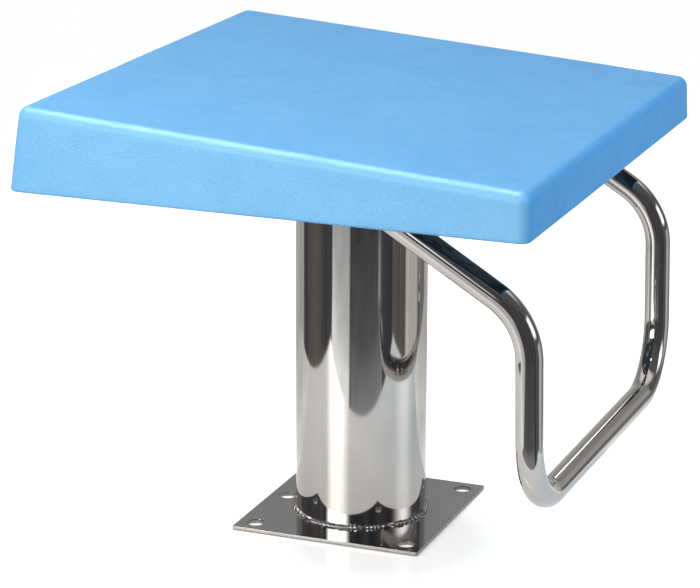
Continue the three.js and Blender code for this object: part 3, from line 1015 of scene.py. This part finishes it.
@dataclass(frozen=True)
class BoltSize:
    """Sizes of a hex bolt, its washer and its shank."""

    shank: float
    flats: float
    head: float
    length: float
    washer: float
    washer_thickness: float
    chamfer_angle: float = 28.0
    tip: float = 0.8 * MM
    washer_play: float = 0.3 * MM
    washer_edge: float = 0.25 * MM

    def head_surface(self, x: float, y: float, bearing: float) -> Array:
        """The head with its shank, bearing face up.

        The head's radius at an angle is half the flats over the cosine of the angle from the
        nearest flat, and a cone cuts its corners off below.

        Args:
            x: The axis's place.
            y: The axis's place.
            bearing: Height of the bearing face.

        Returns:
            Rows and columns of vertices from the head's middle to the shank's top.
        """
        sides = 96
        angle = np.arange(sides) * 2 * np.pi / sides
        off_flat = (angle + np.pi / 6) % (np.pi / 3) - np.pi / 6
        hexagon = self.flats / 2 / np.cos(off_flat)
        land = self.flats / 2 * 0.95
        chamfer = (hexagon - land) * math.tan(math.radians(self.chamfer_angle))
        head, shank = self.head, self.shank / 2
        low, end = bearing - head, bearing + self.length
        # Fractions of the head and radius: dished face, chamfer, sides, collar, shank and tip.
        rows = [
            (0, low + 0.04 * head), (0.86 * land, low + 0.02 * head), (land, low + 0.05 * head),
            (hexagon * 0.985, low + chamfer * 0.95), (hexagon, low + chamfer + 0.03 * head),
            (hexagon, bearing - 0.05 * head), (hexagon * 0.975, bearing), (shank * 1.12, bearing),
            (shank, bearing + 0.08 * head), (shank, end - self.tip), (shank - self.tip, end),
            (0, end),
        ]
        return np.stack([np.stack([x + r * np.cos(angle), y + r * np.sin(angle), z + 0 * angle],
                                  axis=-1) for r, z in rows])

    def build_four(self, name: str, steel: Material, centre: Pair, pitch: Pair,
                   plate_low: float) -> None:
        """Builds a bolt with its washer, a turned ring, at each corner of a pitch.

        Args:
            name: The start of the pieces' and nodes' names.
            steel: Their material.
            centre: The middle between them.
            pitch: Their distances along X and Y.
            plate_low: Height of the underside of the plate that they hold.
        """
        bearing = plate_low - self.washer_thickness
        bore = self.shank / 2 + self.washer_play
        ring = ring_profile(bore, self.washer / 2, bearing, plate_low, self.washer_edge)
        for number, (sx, sy) in enumerate(CORNERS, 1):
            spot = centre[0] + sx * pitch[0] / 2, centre[1] + sy * pitch[1] / 2
            builder = MeshBuilder()
            builder.add_grid(self.head_surface(*spot, bearing))
            builder.add_grid(lathe(ring, 72, spot), closed=True)
            builder.build(f"{name}_bolt_set_{number}", [steel], Slot.FASTENER_STEEL,
                          f"{name}_bolt_{number}", f"{name}_washer_{number}", crease=24)


FLANGE_BOLT = BoltSize(12 * MM, 18 * MM, 7.5 * MM, 24 * MM, 24 * MM, 2.5 * MM)
END_BOLT = BoltSize(8 * MM, 13 * MM, 5.3 * MM, 18 * MM, 16 * MM, 1.6 * MM)


# --------- the column


@dataclass
class Column:
    """The welded column: base plate, tube, beads and the flange that carries the platform."""

    kit: Kit
    diameter: float = 154 * MM
    wall: float = 2 * MM
    tube_edge: float = 0.4 * MM
    plate_length: float = 230 * MM
    plate_width: float = 240 * MM
    plate_thickness: float = 5 * MM
    plate_corner: float = 2 * MM
    plate_edge: float = 0.45 * MM
    anchor_hole: float = 20 * MM
    anchor_inset: float = 21 * MM
    flange_size: float = 200 * MM
    flange_thickness: float = 8 * MM
    flange_corner: float = 12 * MM
    flange_edge: float = 0.6 * MM
    flange_hole: float = 13.5 * MM
    flange_pitch: float = 160 * MM
    seat_height: float = 480 * MM
    bead_leg: float = 4 * MM
    bead_root: float = 0.1 * MM
    ripple_pitch: float = 5.2 * MM
    ripple_steps: int = 9
    ripple_spread: float = 0.16
    ripple_bow: float = 0.55
    ripple_size: Pair = (0.62, 0.46)
    bulge: float = 0.06
    fullness: float = 0.86

    @property
    def tube_top(self) -> float:
        """Height of the flange's underside."""
        return self.seat_height - self.flange_thickness

    def tube(self) -> None:
        """The tube, turned from a wall section with round edges."""
        outer, low, high = self.diameter / 2, self.plate_thickness, self.tube_top
        profile = ring_profile(outer - self.wall, outer, low, high, self.tube_edge)
        heights = np.linspace(low + 2 * MM, high - 2 * MM, 60)
        wall = np.column_stack([np.full_like(heights, outer), heights])
        bottom, rest = np.split(profile, 2)
        builder = MeshBuilder()
        builder.add_grid(lathe(np.concatenate([bottom, wall, rest]), 360), closed=True)
        builder.build("column_tube_skin", [self.kit.mirror], Slot.POLISHED_STEEL, "column_tube")

    def base_plate(self) -> None:
        """The base plate with a hole in each corner and one halfway along the rear side."""
        reach_x = self.plate_length / 2 - self.anchor_inset
        reach_y = self.plate_width / 2 - self.anchor_inset
        centres = [(sx * reach_x, sy * reach_y) for sx, sy in CORNERS] + [(-reach_x, 0.0)]
        outline = rounded_outline(self.plate_length, self.plate_width, self.plate_corner, 6)
        holes = [circle(centre, self.anchor_hole / 2) for centre in centres]
        drilled_plate("base_plate", Slot.POLISHED_STEEL, self.kit.polished_plate, outline, holes,
                      0.0, self.plate_thickness, self.plate_edge)

    def flange(self) -> None:
        """The flange with its four bolt holes."""
        half = self.flange_pitch / 2
        holes = [circle((sx * half, sy * half), self.flange_hole / 2, 48) for sx, sy in CORNERS]
        outline = rounded_outline(self.flange_size, self.flange_size, self.flange_corner)
        drilled_plate("top_flange", Slot.BRUSHED_STEEL, self.kit.brushed_plate, outline, holes,
                      self.tube_top, self.seat_height, self.flange_edge)

    def bead(self, node: str, height: float, rise: float, seed: int) -> None:
        """A weld bead of overlapping crescents round the tube.

        The section is a bulged fillet between the tube and the plate. Along the seam its size
        follows a saw of one tooth for each ripple, whose front bows forward in the middle of the
        section. The welder's pace wanders, and each ripple has its own slight size.

        Args:
            node: The node that the bead stands for.
            height: Height of the plate's face.
            rise: 1 over the plate, -1 under it.
            seed: Seed of the ripples' sizes.
        """
        root = self.diameter / 2 - self.bead_root
        ripples = round(2 * np.pi * root / self.ripple_pitch)
        steps = ripples * self.ripple_steps
        angle = np.arange(steps) * 2 * np.pi / steps
        across = np.linspace(0, 1, 11)[:, None]
        bow = self.ripple_bow * np.sin(np.pi * across)
        pace = 0.7 * np.sin(5 * angle + 1.3) + 0.45 * np.sin(13 * angle + 0.4)
        phase = angle * ripples / (2 * np.pi) + bow + pace
        own = np.random.default_rng(seed).normal(0.0, self.ripple_spread, ripples)
        size = self.bead_leg * (1 + own[np.floor(phase).astype(int) % ripples])
        trough, crest = self.ripple_size
        swell = trough + crest * np.sin(np.pi * (phase % 1.0)) ** 0.6
        sweep = across * np.pi / 2
        reach = size * swell * (1 + self.bulge * np.sin(2 * sweep)) * self.fullness
        radial, up = root + reach * np.cos(sweep) ** 0.9, reach * np.sin(sweep) ** 0.9
        radial[-1], up[0] = root, 0.0
        cos, sin = np.cos(angle), np.sin(angle)
        skin = np.stack([radial * cos, radial * sin, height + rise * up], axis=-1)
        seam = np.stack([root * cos, root * sin, height + 0 * angle], axis=-1)
        build_bead(node + "_bead", node, self.kit.weld, seam, skin)

    def build(self) -> None:
        """Builds the column with the bolts that hold the platform on its flange."""
        self.tube()
        self.base_plate()
        self.flange()
        self.bead("base_weld", self.plate_thickness, 1.0, 11)
        self.bead("top_weld", self.tube_top, -1.0, 12)
        pitch = (self.flange_pitch, self.flange_pitch)
        FLANGE_BOLT.build_four("flange", self.kit.satin, (0.0, 0.0), pitch, self.tube_top)


# --------- the grip


def turned(vector: Array, axis: Array, angle: Array) -> Array:
    """A vector turned about an axis by each of several angles."""
    cos, sin = np.cos(angle)[:, None], np.sin(angle)[:, None]
    return vector * cos + np.cross(axis, vector) * sin + axis * (axis @ vector) * (1 - cos)


@dataclass
class Grip:
    """The grip: one bent tube whose level-cut ends are welded to plates under the side pads."""

    kit: Kit
    diameter: float = 30 * MM
    wall: float = 2 * MM
    half_spacing: float = 252.5 * MM
    end_x: float = 62 * MM
    plate_low: float = 474 * MM
    knee: Pair = (285 * MM, 338 * MM)
    bar: Pair = (289.5 * MM, 122.5 * MM)
    bend_radius: float = 82 * MM
    bend_steps: int = 36
    sides: int = 72
    plate_length: float = 120 * MM
    plate_width: float = 76 * MM
    plate_thickness: float = 6 * MM
    plate_corner: float = 10 * MM
    plate_edge: float = 0.6 * MM
    plate_hole: float = 9.5 * MM
    bolt_pitch: Pair = (92 * MM, 52 * MM)
    bead_leg: float = 3.6 * MM
    bead_root: float = 0.2 * MM
    ripples: int = 26
    ripple_steps: int = 9
    ripple_bow: float = 0.5
    ripple_size: Pair = (0.78, 0.3)
    fullness: float = 0.95

    def corners(self) -> Array:
        """The centre line's corners from the near end to the far end."""
        s, half = self.half_spacing, [(self.end_x, self.plate_low), self.knee, self.bar]
        return np.array([(x, -s, z) for x, z in half] + [(x, s, z) for x, z in reversed(half)])

    def stations(self) -> tuple[Array, Array, Array]:
        """Centre line, directions and cross directions along the tube.

        Straight runs join round bends. In a bend the centre and the directions turn together
        about the bend's axis, so the cross direction never twists.

        Returns:
            Places, tangents and cross directions.
        """
        points = self.corners()
        tangent, cross = unit(points[1] - points[0]), np.array([0.0, 1.0, 0.0])
        places, tangents, crosses = [points[0]], [tangent], [cross]
        for corner, after in zip(points[1:-1], points[2:]):
            ahead = unit(after - corner)
            axis = unit(np.cross(tangent, ahead))
            sweep = math.acos(float(tangent @ ahead))
            start = corner - tangent * (self.bend_radius * math.tan(sweep / 2))
            centre = start + np.cross(axis, tangent) * self.bend_radius
            angle = np.linspace(0, sweep, self.bend_steps + 1)
            places.extend(centre + turned(start - centre, axis, angle))
            tangents.extend(turned(tangent, axis, angle))
            crosses.extend(turned(cross, axis, angle))
            tangent, cross = tangents[-1], crosses[-1]
        places.append(points[-1])
        tangents.append(tangent)
        crosses.append(cross)
        return np.array(places), np.array(tangents), np.array(crosses)

    def skin(self, radius: float) -> Array:
        """Rings of a given radius along the centre line, the ends cut level.

        Each ring is a circle across the tangent. A point of an end ring slides along the tangent
        until it reaches the plate's height.

        Args:
            radius: The rings' radius.

        Returns:
            Rings by places by three numbers.
        """
        places, tangents, crosses = self.stations()
        other = np.cross(tangents, crosses)
        angle = (np.arange(self.sides) * 2 * np.pi / self.sides)[None, :, None]
        circles = np.cos(angle) * crosses[:, None, :] + np.sin(angle) * other[:, None, :]
        rings = places[:, None, :] + radius * circles
        for end in (0, -1):
            slide = (self.plate_low - rings[end][:, 2]) / tangents[end][2]
            rings[end] += slide[:, None] * tangents[end]
        return rings

    def tube(self) -> None:
        """The tube with its bore, open at both ends against the plates."""
        outer = self.skin(self.diameter / 2)
        inner = self.skin(self.diameter / 2 - self.wall)[::-1]
        builder = MeshBuilder()
        builder.add_grid(np.concatenate([outer, inner]), closed=True)
        builder.build("grip_tube_skin", [self.kit.mirror], Slot.POLISHED_STEEL, "grip_tube")

    def plate(self, name: str, side: int) -> None:
        """The plate on one end, with its four bolt holes.

        Args:
            name: The side's name.
            side: -1 for the near side, 1 for the far side.
        """
        x, y = self.end_x, side * self.half_spacing
        long, wide = self.bolt_pitch
        outline = rounded_outline(self.plate_length, self.plate_width, self.plate_corner) + [x, y]
        holes = [circle((x + sx * long / 2, y + sy * wide / 2), self.plate_hole / 2, 40)
                 for sx, sy in CORNERS]
        low, high = self.plate_low, self.plate_low + self.plate_thickness
        drilled_plate(f"grip_plate_{name}", Slot.BRUSHED_STEEL, self.kit.brushed_plate, outline,
                      holes, low, high, self.plate_edge)

    def bead(self, name: str, end: int) -> None:
        """The bead round one end: ripples on a fillet that follows the oval joint.

        Args:
            name: The side's name.
            end: 0 for the near end, -1 for the far end.
        """
        _, tangents, _ = self.stations()
        run = tangents[end] if end == 0 else -tangents[end]
        oval = self.skin(self.diameter / 2 - self.bead_root)[end]
        oval = np.concatenate([oval, oval[:1]])
        steps = self.ripples * self.ripple_steps
        share = np.linspace(0, self.sides, steps + 1)[:-1]
        low = np.floor(share).astype(int)
        mixed = (share - low)[:, None]
        seam = oval[low] * (1 - mixed) + oval[low + 1] * mixed
        outward = unit((seam - seam.mean(axis=0)) * [1.0, 1.0, 0.0])
        across = np.linspace(0, 1, 9)[:, None]
        bow = self.ripple_bow * np.sin(np.pi * across)
        ripple = (np.arange(steps) / self.ripple_steps + bow) % 1.0
        trough, crest = self.ripple_size
        size = self.bead_leg * (trough + crest * np.sin(np.pi * ripple) ** 0.6)
        sweep = across * np.pi / 2
        out, down = ((size * part * self.fullness)[..., None]
                     for part in (np.cos(sweep), np.sin(sweep)))
        skin = seam[None] + out * outward[None] + down * run
        build_bead(f"grip_bead_{name}", f"grip_weld_{name}", self.kit.weld, seam, skin)

    def build(self) -> None:
        """Builds the tube and, at both ends, the plate, its bead and its four bolts."""
        self.tube()
        for name, side, end in (("near", -1, 0), ("far", 1, -1)):
            self.plate(name, side)
            self.bead(name, end)
            centre = (self.end_x, side * self.half_spacing)
            END_BOLT.build_four(f"grip_{name}", self.kit.satin, centre, self.bolt_pitch,
                                self.plate_low)


# --------- the studio


class Tone(Enum):
    """Light that a part of the studio sends to the block."""

    NONE = (0.0, 0.0, 0.0)
    WALL = (0.315, 0.317, 0.313)
    SKIRTING = (0.46, 0.46, 0.455)
    CURTAIN = (0.070, 0.070, 0.088)
    DARK = (0.082, 0.081, 0.087)
    WOOD = (0.150, 0.136, 0.120)
    PAPER = (0.56, 0.546, 0.525)
    RIGHT_PAPER = (0.66, 0.65, 0.63)
    SHADED_PAPER = (0.25, 0.246, 0.243)
    LIT_PAPER = (0.60, 0.59, 0.58)
    BANK = (9.3, 9.0, 8.6)
    SIDE_BANK = (3.0, 2.95, 2.9)
    LAMP = (2.0, 1.97, 1.92)
    DIM = (0.085, 0.086, 0.091)
    CEILING = (0.13, 0.13, 0.135)
    BACKDROP = (0.95, 0.95, 0.94)


def room(back: Tone) -> tuple:
    """Zones of the room's walls: the back of it, the dark behind the camera and the sides."""
    return ((-180, back), (-130, Tone.CEILING), (-70, Tone.DIM), (56, Tone.CEILING), (130, back))


class RoomGraph(NodeGraph):
    """The world's graph, which knows each ray's direction round the block and its rise."""

    def __init__(self, tree: bpy.types.NodeTree, towards: Array, rightwards: Array) -> None:
        """Works the directions out.

        Args:
            tree: The world's node tree.
            towards: Level direction to the camera.
            rightwards: Level direction to the camera's right.
        """
        super().__init__(tree)
        ray = self.add("TexCoord").outputs["Generated"]
        turn = self.math("ARCTAN2", self.along(ray, rightwards), self.along(ray, towards))
        self.around = self.math("MULTIPLY_ADD", turn, 1 / (2 * math.pi), 0.5)
        self.up = self.add("SeparateXYZ", None, Vector=ray).outputs["Z"]

    def ramp(self, stops: list, blend: str) -> Socket:
        """Colours round the block.

        Args:
            stops: Angles in degrees and their tones, in order.
            blend: How colours run between the stops.

        Returns:
            The colour's socket.
        """
        node = self.add("ValToRGB", None, Fac=self.around)
        elements = node.color_ramp.elements
        node.color_ramp.interpolation = blend
        while len(elements) < len(stops):
            elements.new(0.5)
        for element, (degrees, _) in zip(elements, stops):
            element.position = (degrees + 180) / 360
        for element, (_, tone) in zip(elements, stops):
            element.color = opaque(tone.value)
        return node.outputs[0]

    def zones(self, zones: tuple, soft: float = 0.9) -> Socket:
        """Even zones round the block with soft edges.

        Args:
            zones: Where each zone starts, in degrees, and its tone.
            soft: Half the width of a zone's soft edge, in degrees.

        Returns:
            The colour's socket.
        """
        stops = [zones[0]]
        for (start, tone), (_, before) in zip(zones[1:], zones):
            stops += [(start - soft, before), (start + soft, tone)]
        return self.ramp(stops, "LINEAR")

    def level(self, rise: Pair) -> Socket:
        """0 below one elevation and 1 above another, in degrees, with a soft rise between."""
        low, high = (math.sin(math.radians(degrees)) for degrees in rise)
        return self.add("MapRange", {"interpolation_type": "SMOOTHSTEP"}, Value=self.up,
                        From_Min=low, From_Max=high).outputs[0]

    def window(self, foot: Pair, head: Pair) -> Socket:
        """1 between a soft foot and a soft head, in degrees of elevation, and 0 outside."""
        return self.math("MULTIPLY", self.level(foot), self.math("SUBTRACT", 1.0, self.level(head)))


@dataclass(frozen=True)
class LitSheet:
    """A lit part of the floor, the table or the ceiling, which only reflections show.

    Its outline's corners are distances towards the camera and to its right, its falls are
    distances towards the camera with the light sent from there, and its fade gives the slants to
    the right, as seen from above, between which the light runs out.
    """

    name: str
    outline: tuple
    falls: tuple
    tint: Colour
    fade: Pair | None = None
    height: float = -1 * MM


@dataclass(frozen=True)
class Bank:
    """A soft light, placed towards the camera, to its right and up, with its width and height."""

    name: str
    place: Triple
    size: Pair
    watts: float
    tint: Colour


APRON = LitSheet(
    "apron",
    ((0.50, -0.1625), (0.50, -0.617), (1.95, -2.40), (2.40, -2.00), (2.85, -1.55), (3.05, -0.99)),
    ((0.55, 1.35), (0.72, 0.94), (0.9, 0.71), (1.3, 0.56), (1.7, 0.86)), (0.97, 0.99, 1.0),
    fade=(-0.40, -0.33))
FLOOR_STRIP = LitSheet(
    "floor_strip", ((0.50, 0.337), (0.50, -0.162), (1.35, -0.437), (1.35, 0.910)),
    ((0.52, 0.33), (0.82, 0.14), (1.3, 0.095)), (0.97, 0.98, 1.05))
FAR_TABLE = LitSheet(
    "far_table", ((-0.12, -0.66), (-0.12, 0.68), (-2.6, 0.68), (-2.6, -0.66)),
    ((-0.60, 0.54), (-0.12, 1.0)), (1.0, 0.99, 0.975), height=-0.1 * MM)
STRIP_LAMP = LitSheet(
    "strip_lamp", ((-0.50, -1.35), (-0.50, 0.25), (0.60, 0.25), (0.60, -1.35)),
    ((-0.6, 24.0), (0.7, 24.0)), (1.0, 0.70, 0.46), height=1.9)


@dataclass
class Studio:
    """The table, the lights, the dark room behind the camera and the camera itself.

    Directions are given round the block from the camera's side: 0 is towards the camera, positive
    to its right. Zones and bells give them in degrees, each with a tone, and pairs of elevations
    in degrees tell where something starts and is whole.
    """

    azimuth: float = 21.231
    elevation: float = 16.322
    roll: float = 0.214
    distance: float = 3.3448
    target: Triple = (-0.01475, 0.0, 0.26583)
    focal_pixels: float = 2862.25
    frame_width: float = 700.0
    sensor: float = 36.0
    table: tuple = ((0.50, -0.66), (0.50, 0.68), (-2.6, 0.68), (-2.6, -0.66))
    table_height: float = -0.2 * MM
    table_colour: Colour = (0.45, 0.57, 0.64)
    table_light: Colour = (0.96, 0.985, 1.0)
    table_film: float = 0.08
    table_gloss: Pair = (0.13, 0.17)
    table_refraction: float = 1.30
    table_glow: float = 0.34
    # Painted light on the table for the camera: it grows from this point near the block's foot,
    # leaving shade only round the foot.
    painted_light_centre: Pair = (0.10, 0.03)
    table_painted_light: tuple = (0.10, 0.26, 0.12, 0.70)
    sheets: tuple = (APRON, FLOOR_STRIP, FAR_TABLE, STRIP_LAMP)
    low_zones: tuple = (
        (-180, Tone.PAPER), (-121, Tone.CURTAIN), (-108, Tone.WOOD), (-76, Tone.DARK),
        (34, Tone.CURTAIN), (54, Tone.WOOD), (82, Tone.RIGHT_PAPER), (112, Tone.SHADED_PAPER),
        (140, Tone.LIT_PAPER))
    skirting_zones: tuple = room(Tone.SKIRTING)
    high_zones: tuple = room(Tone.WALL)
    lamp_zones: tuple = (*room(Tone.WALL), (158, Tone.LAMP), (172, Tone.WALL))
    top_zones: tuple = ((-180, Tone.BACKDROP), (-105, Tone.CEILING), (100, Tone.BACKDROP))
    bank_bells: tuple = ((-180, Tone.NONE), (-66, Tone.NONE), (-51, Tone.BANK), (-38, Tone.BANK),
                         (-18, Tone.NONE))
    side_bank_bells: tuple = ((-180, Tone.NONE), (56, Tone.NONE), (81, Tone.SIDE_BANK),
                              (106, Tone.NONE))
    horizon: Pair = (-1, 2)
    skirting_top: Pair = (14, 17)
    lamp_foot: Pair = (22, 23)
    lamp_head: Pair = (25, 26)
    bank_foot: Pair = (5, 12)
    bank_head: Pair = (24, 29)
    top_foot: Pair = (30, 48)
    top_soft: float = 8.0
    cloud_size: float = 0.2
    cloud_spread: Pair = (0.9, 1.1)
    streaks_round: float = 26.0
    low_streaks: Pair = (0.78, 1.22)
    high_streaks: Pair = (0.7, 1.35)
    aim: Triple = (0.0, 0.0, 0.35)
    banks: tuple = (
        Bank("bank_left", (1.9, -0.9, 1.25), (1.4, 1.6), 82, (1.0, 0.48, 0.30)),
        Bank("bank_right", (0.5, 2.2, 1.1), (1.0, 1.4), 25, (0.08, 0.80, 1.0)),
        Bank("bank_overhead", (0.5, -1.0, 1.95), (1.0, 1.4), 16, (0.95, 0.93, 0.90)))

    @property
    def towards(self) -> Array:
        """Level direction from the block to the camera."""
        a = math.radians(self.azimuth)
        return np.array([math.sin(a), -math.cos(a), 0.0])

    @property
    def rightwards(self) -> Array:
        """Level direction to the camera's right."""
        a = math.radians(self.azimuth)
        return np.array([math.cos(a), math.sin(a), 0.0])

    def at(self, forward: float, right: float, height: float) -> Vector:
        """A place given from the block's axis: towards the camera, to its right and up."""
        return Vector(self.towards * forward + self.rightwards * right + [0.0, 0.0, height])

    def camera(self) -> None:
        """Sets the camera where the photograph was taken from."""
        e, turn = math.radians(self.elevation), math.radians(self.roll)
        back = Vector(self.towards * math.cos(e) + [0.0, 0.0, math.sin(e)])
        level = Vector(self.rightwards)
        upright = back.cross(level)
        right = level * math.cos(turn) + upright * math.sin(turn)
        up = upright * math.cos(turn) - level * math.sin(turn)
        data = bpy.data.cameras.new("camera")
        data.sensor_width = self.sensor
        data.lens = self.focal_pixels / self.frame_width * self.sensor
        camera = placed("camera", data)
        axes = Matrix((right, up, back)).transposed().to_4x4()
        camera.matrix_world = Matrix.Translation(Vector(self.target) + back * self.distance) @ axes
        bpy.context.scene.camera = camera

    def sheet(self, name: str, outline: tuple, height: float) -> tuple[bpy.types.Object, NodeGraph]:
        """A level sheet of the studio with a new material.

        Args:
            name: Its name.
            outline: Its corners, as distances towards the camera and to its right.
            height: Its height.

        Returns:
            The sheet, and the empty graph of its material.
        """
        mesh = bpy.data.meshes.new(name)
        corners = [tuple(self.at(forward, right, height)) for forward, right in outline]
        mesh.from_pydata(corners, [], [tuple(range(len(corners)))])
        material, graph, _ = new_material(name)
        mesh.materials.append(material)
        sheet = placed(name, mesh)
        return sheet, graph

    def floor(self) -> None:
        """The white glossy table, with painted light for the camera that grows away from the
        block's foot, so it is less bright round the foot; it isn't seen from below.
        """
        _, graph = self.sheet("table_top", self.table, self.table_height)
        place = graph.place()
        gloss = graph.span(graph.noise(place, self.table_film), 0.3, 0.7, *self.table_gloss)
        # Painted light: camera rays get extra glow that grows with the distance from this point, so
        # shadows show only round the block's foot.
        shade = self.at(*self.painted_light_centre, 0.0)
        away = graph.add("VectorMath", {"operation": "DISTANCE"}, s0=place, s1=shade)
        straight = graph.add("LightPath").outputs["Is Camera Ray"]
        lift = graph.span(away.outputs["Value"], *self.table_painted_light)
        glow = graph.math("MULTIPLY_ADD", straight, lift, self.table_glow)
        graph.one_sided(graph.add(
            "BsdfPrincipled", None, Base_Color=opaque(self.table_colour), Roughness=gloss,
            IOR=self.table_refraction, Emission_Color=opaque(self.table_light),
            Emission_Strength=glow))

    def light_sheet(self, lit: LitSheet) -> None:
        """Builds a lit sheet, whose light falls off in steps and is a little cloudy.

        Args:
            lit: The sheet.
        """
        sheet, graph = self.sheet(lit.name, lit.outline, lit.height)
        sheet.visible_camera = sheet.visible_diffuse = sheet.visible_shadow = False
        sheet.active_material.cycles.emission_sampling = "NONE"
        place = graph.place()
        reach = graph.along(place, self.towards)
        light = lit.falls[0][1]
        for (near, before), (far, after) in zip(lit.falls[:-1], lit.falls[1:]):
            light = graph.math("ADD", light, graph.span(reach, near, far, 0.0, after - before))
        if lit.fade:
            slant = graph.math("DIVIDE", graph.along(place, self.rightwards), reach)
            light = graph.math("MULTIPLY", light, graph.span(slant, *lit.fade, 1.0, 0.0))
        cloud = graph.span(graph.noise(place, self.cloud_size), 0.3, 0.7, *self.cloud_spread)
        strength = graph.math("MULTIPLY", light, cloud)
        graph.one_sided(graph.add("Emission", None, Color=opaque(lit.tint), Strength=strength))

    def world(self) -> None:
        """The room: white where the camera looks past the block, the studio in reflections."""
        world = bpy.data.worlds.new("studio")
        world.use_nodes = True
        bpy.context.scene.world = world
        graph = RoomGraph(world.node_tree, self.towards, self.rightwards)
        streaks = graph.add("TexNoise", {"noise_dimensions": "1D"}, W=graph.around,
                            Scale=self.streaks_round, Detail=3.0, Roughness=0.6).outputs["Fac"]
        low, high = (graph.scaled(graph.zones(zones), graph.span(streaks, 0.3, 0.7, *spread))
                     for zones, spread in ((self.low_zones, self.low_streaks),
                                           (self.high_zones, self.high_streaks)))
        skirting = graph.zones(self.skirting_zones)
        high = graph.mix(graph.level(self.skirting_top), skirting, high)
        lamp = graph.window(self.lamp_foot, self.lamp_head)
        high = graph.mix(lamp, high, graph.zones(self.lamp_zones))
        top = graph.zones(self.top_zones, self.top_soft)
        high = graph.mix(graph.level(self.top_foot), high, top)
        for bells in (self.bank_bells, self.side_bank_bells):
            window = graph.window(self.bank_foot, self.bank_head)
            bank = graph.mix(window, Tone.NONE.value, graph.ramp(bells, "EASE"))
            high = graph.mix(1.0, high, bank, "ADD")
        tones = graph.mix(graph.level(self.horizon), low, high)
        studio, white = (graph.add("Background", None, Color=colour, Strength=1.0).outputs[0]
                         for colour in (tones, (1.0, 1.0, 1.0, 1.0)))
        straight = graph.add("LightPath").outputs["Is Camera Ray"]
        both = graph.add("MixShader", None, s0=straight, s1=studio, s2=white).outputs[0]
        graph.add("OutputWorld", None, Surface=both)

    def light(self, bank: Bank) -> None:
        """Builds a soft light, which reflections don't show since the room has the banks.

        Args:
            bank: The light.
        """
        spot, aim = self.at(*bank.place), Vector(self.aim)
        data = bpy.data.lights.new(bank.name, "AREA")
        data.shape, data.energy, data.color = "RECTANGLE", bank.watts, bank.tint
        data.size, data.size_y = bank.size
        lamp = placed(bank.name, data)
        turn = (spot - aim).to_track_quat("Z", "Y").to_matrix().to_4x4()
        lamp.matrix_world = Matrix.Translation(spot) @ turn
        lamp.visible_glossy = False

    def build(self) -> None:
        """Builds the whole studio."""
        self.camera()
        self.floor()
        for lit in self.sheets:
            self.light_sheet(lit)
        self.world()
        for bank in self.banks:
            self.light(bank)
        bpy.context.scene.view_settings.view_transform = "Standard"


def dress_bushes(brass: Material) -> int:
    """Gives the turned brass to the bushes, which keep their own shape.

    Args:
        brass: The turned brass.

    Returns:
        How many bushes there are.
    """
    bushes = [node for name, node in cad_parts.items() if "_bush_" in name]
    for node in bushes:
        node.material_slots[0].material = brass
    return len(bushes)


def main() -> None:
    """Builds the studio and the block."""
    logging.basicConfig(level=logging.INFO, format="%(name)s: %(message)s")
    Studio().build()
    log.info("studio set")
    kit = Kit()
    platform = PlatformMoulding(kit)
    for assembly in (platform, Underdeck(platform), Column(kit), Grip(kit)):
        assembly.build()
        log.info("%s built", type(assembly).__name__)
    log.info("%d brass bushes", dress_bushes(kit.brass))


if __name__ == "__main__":
    main()
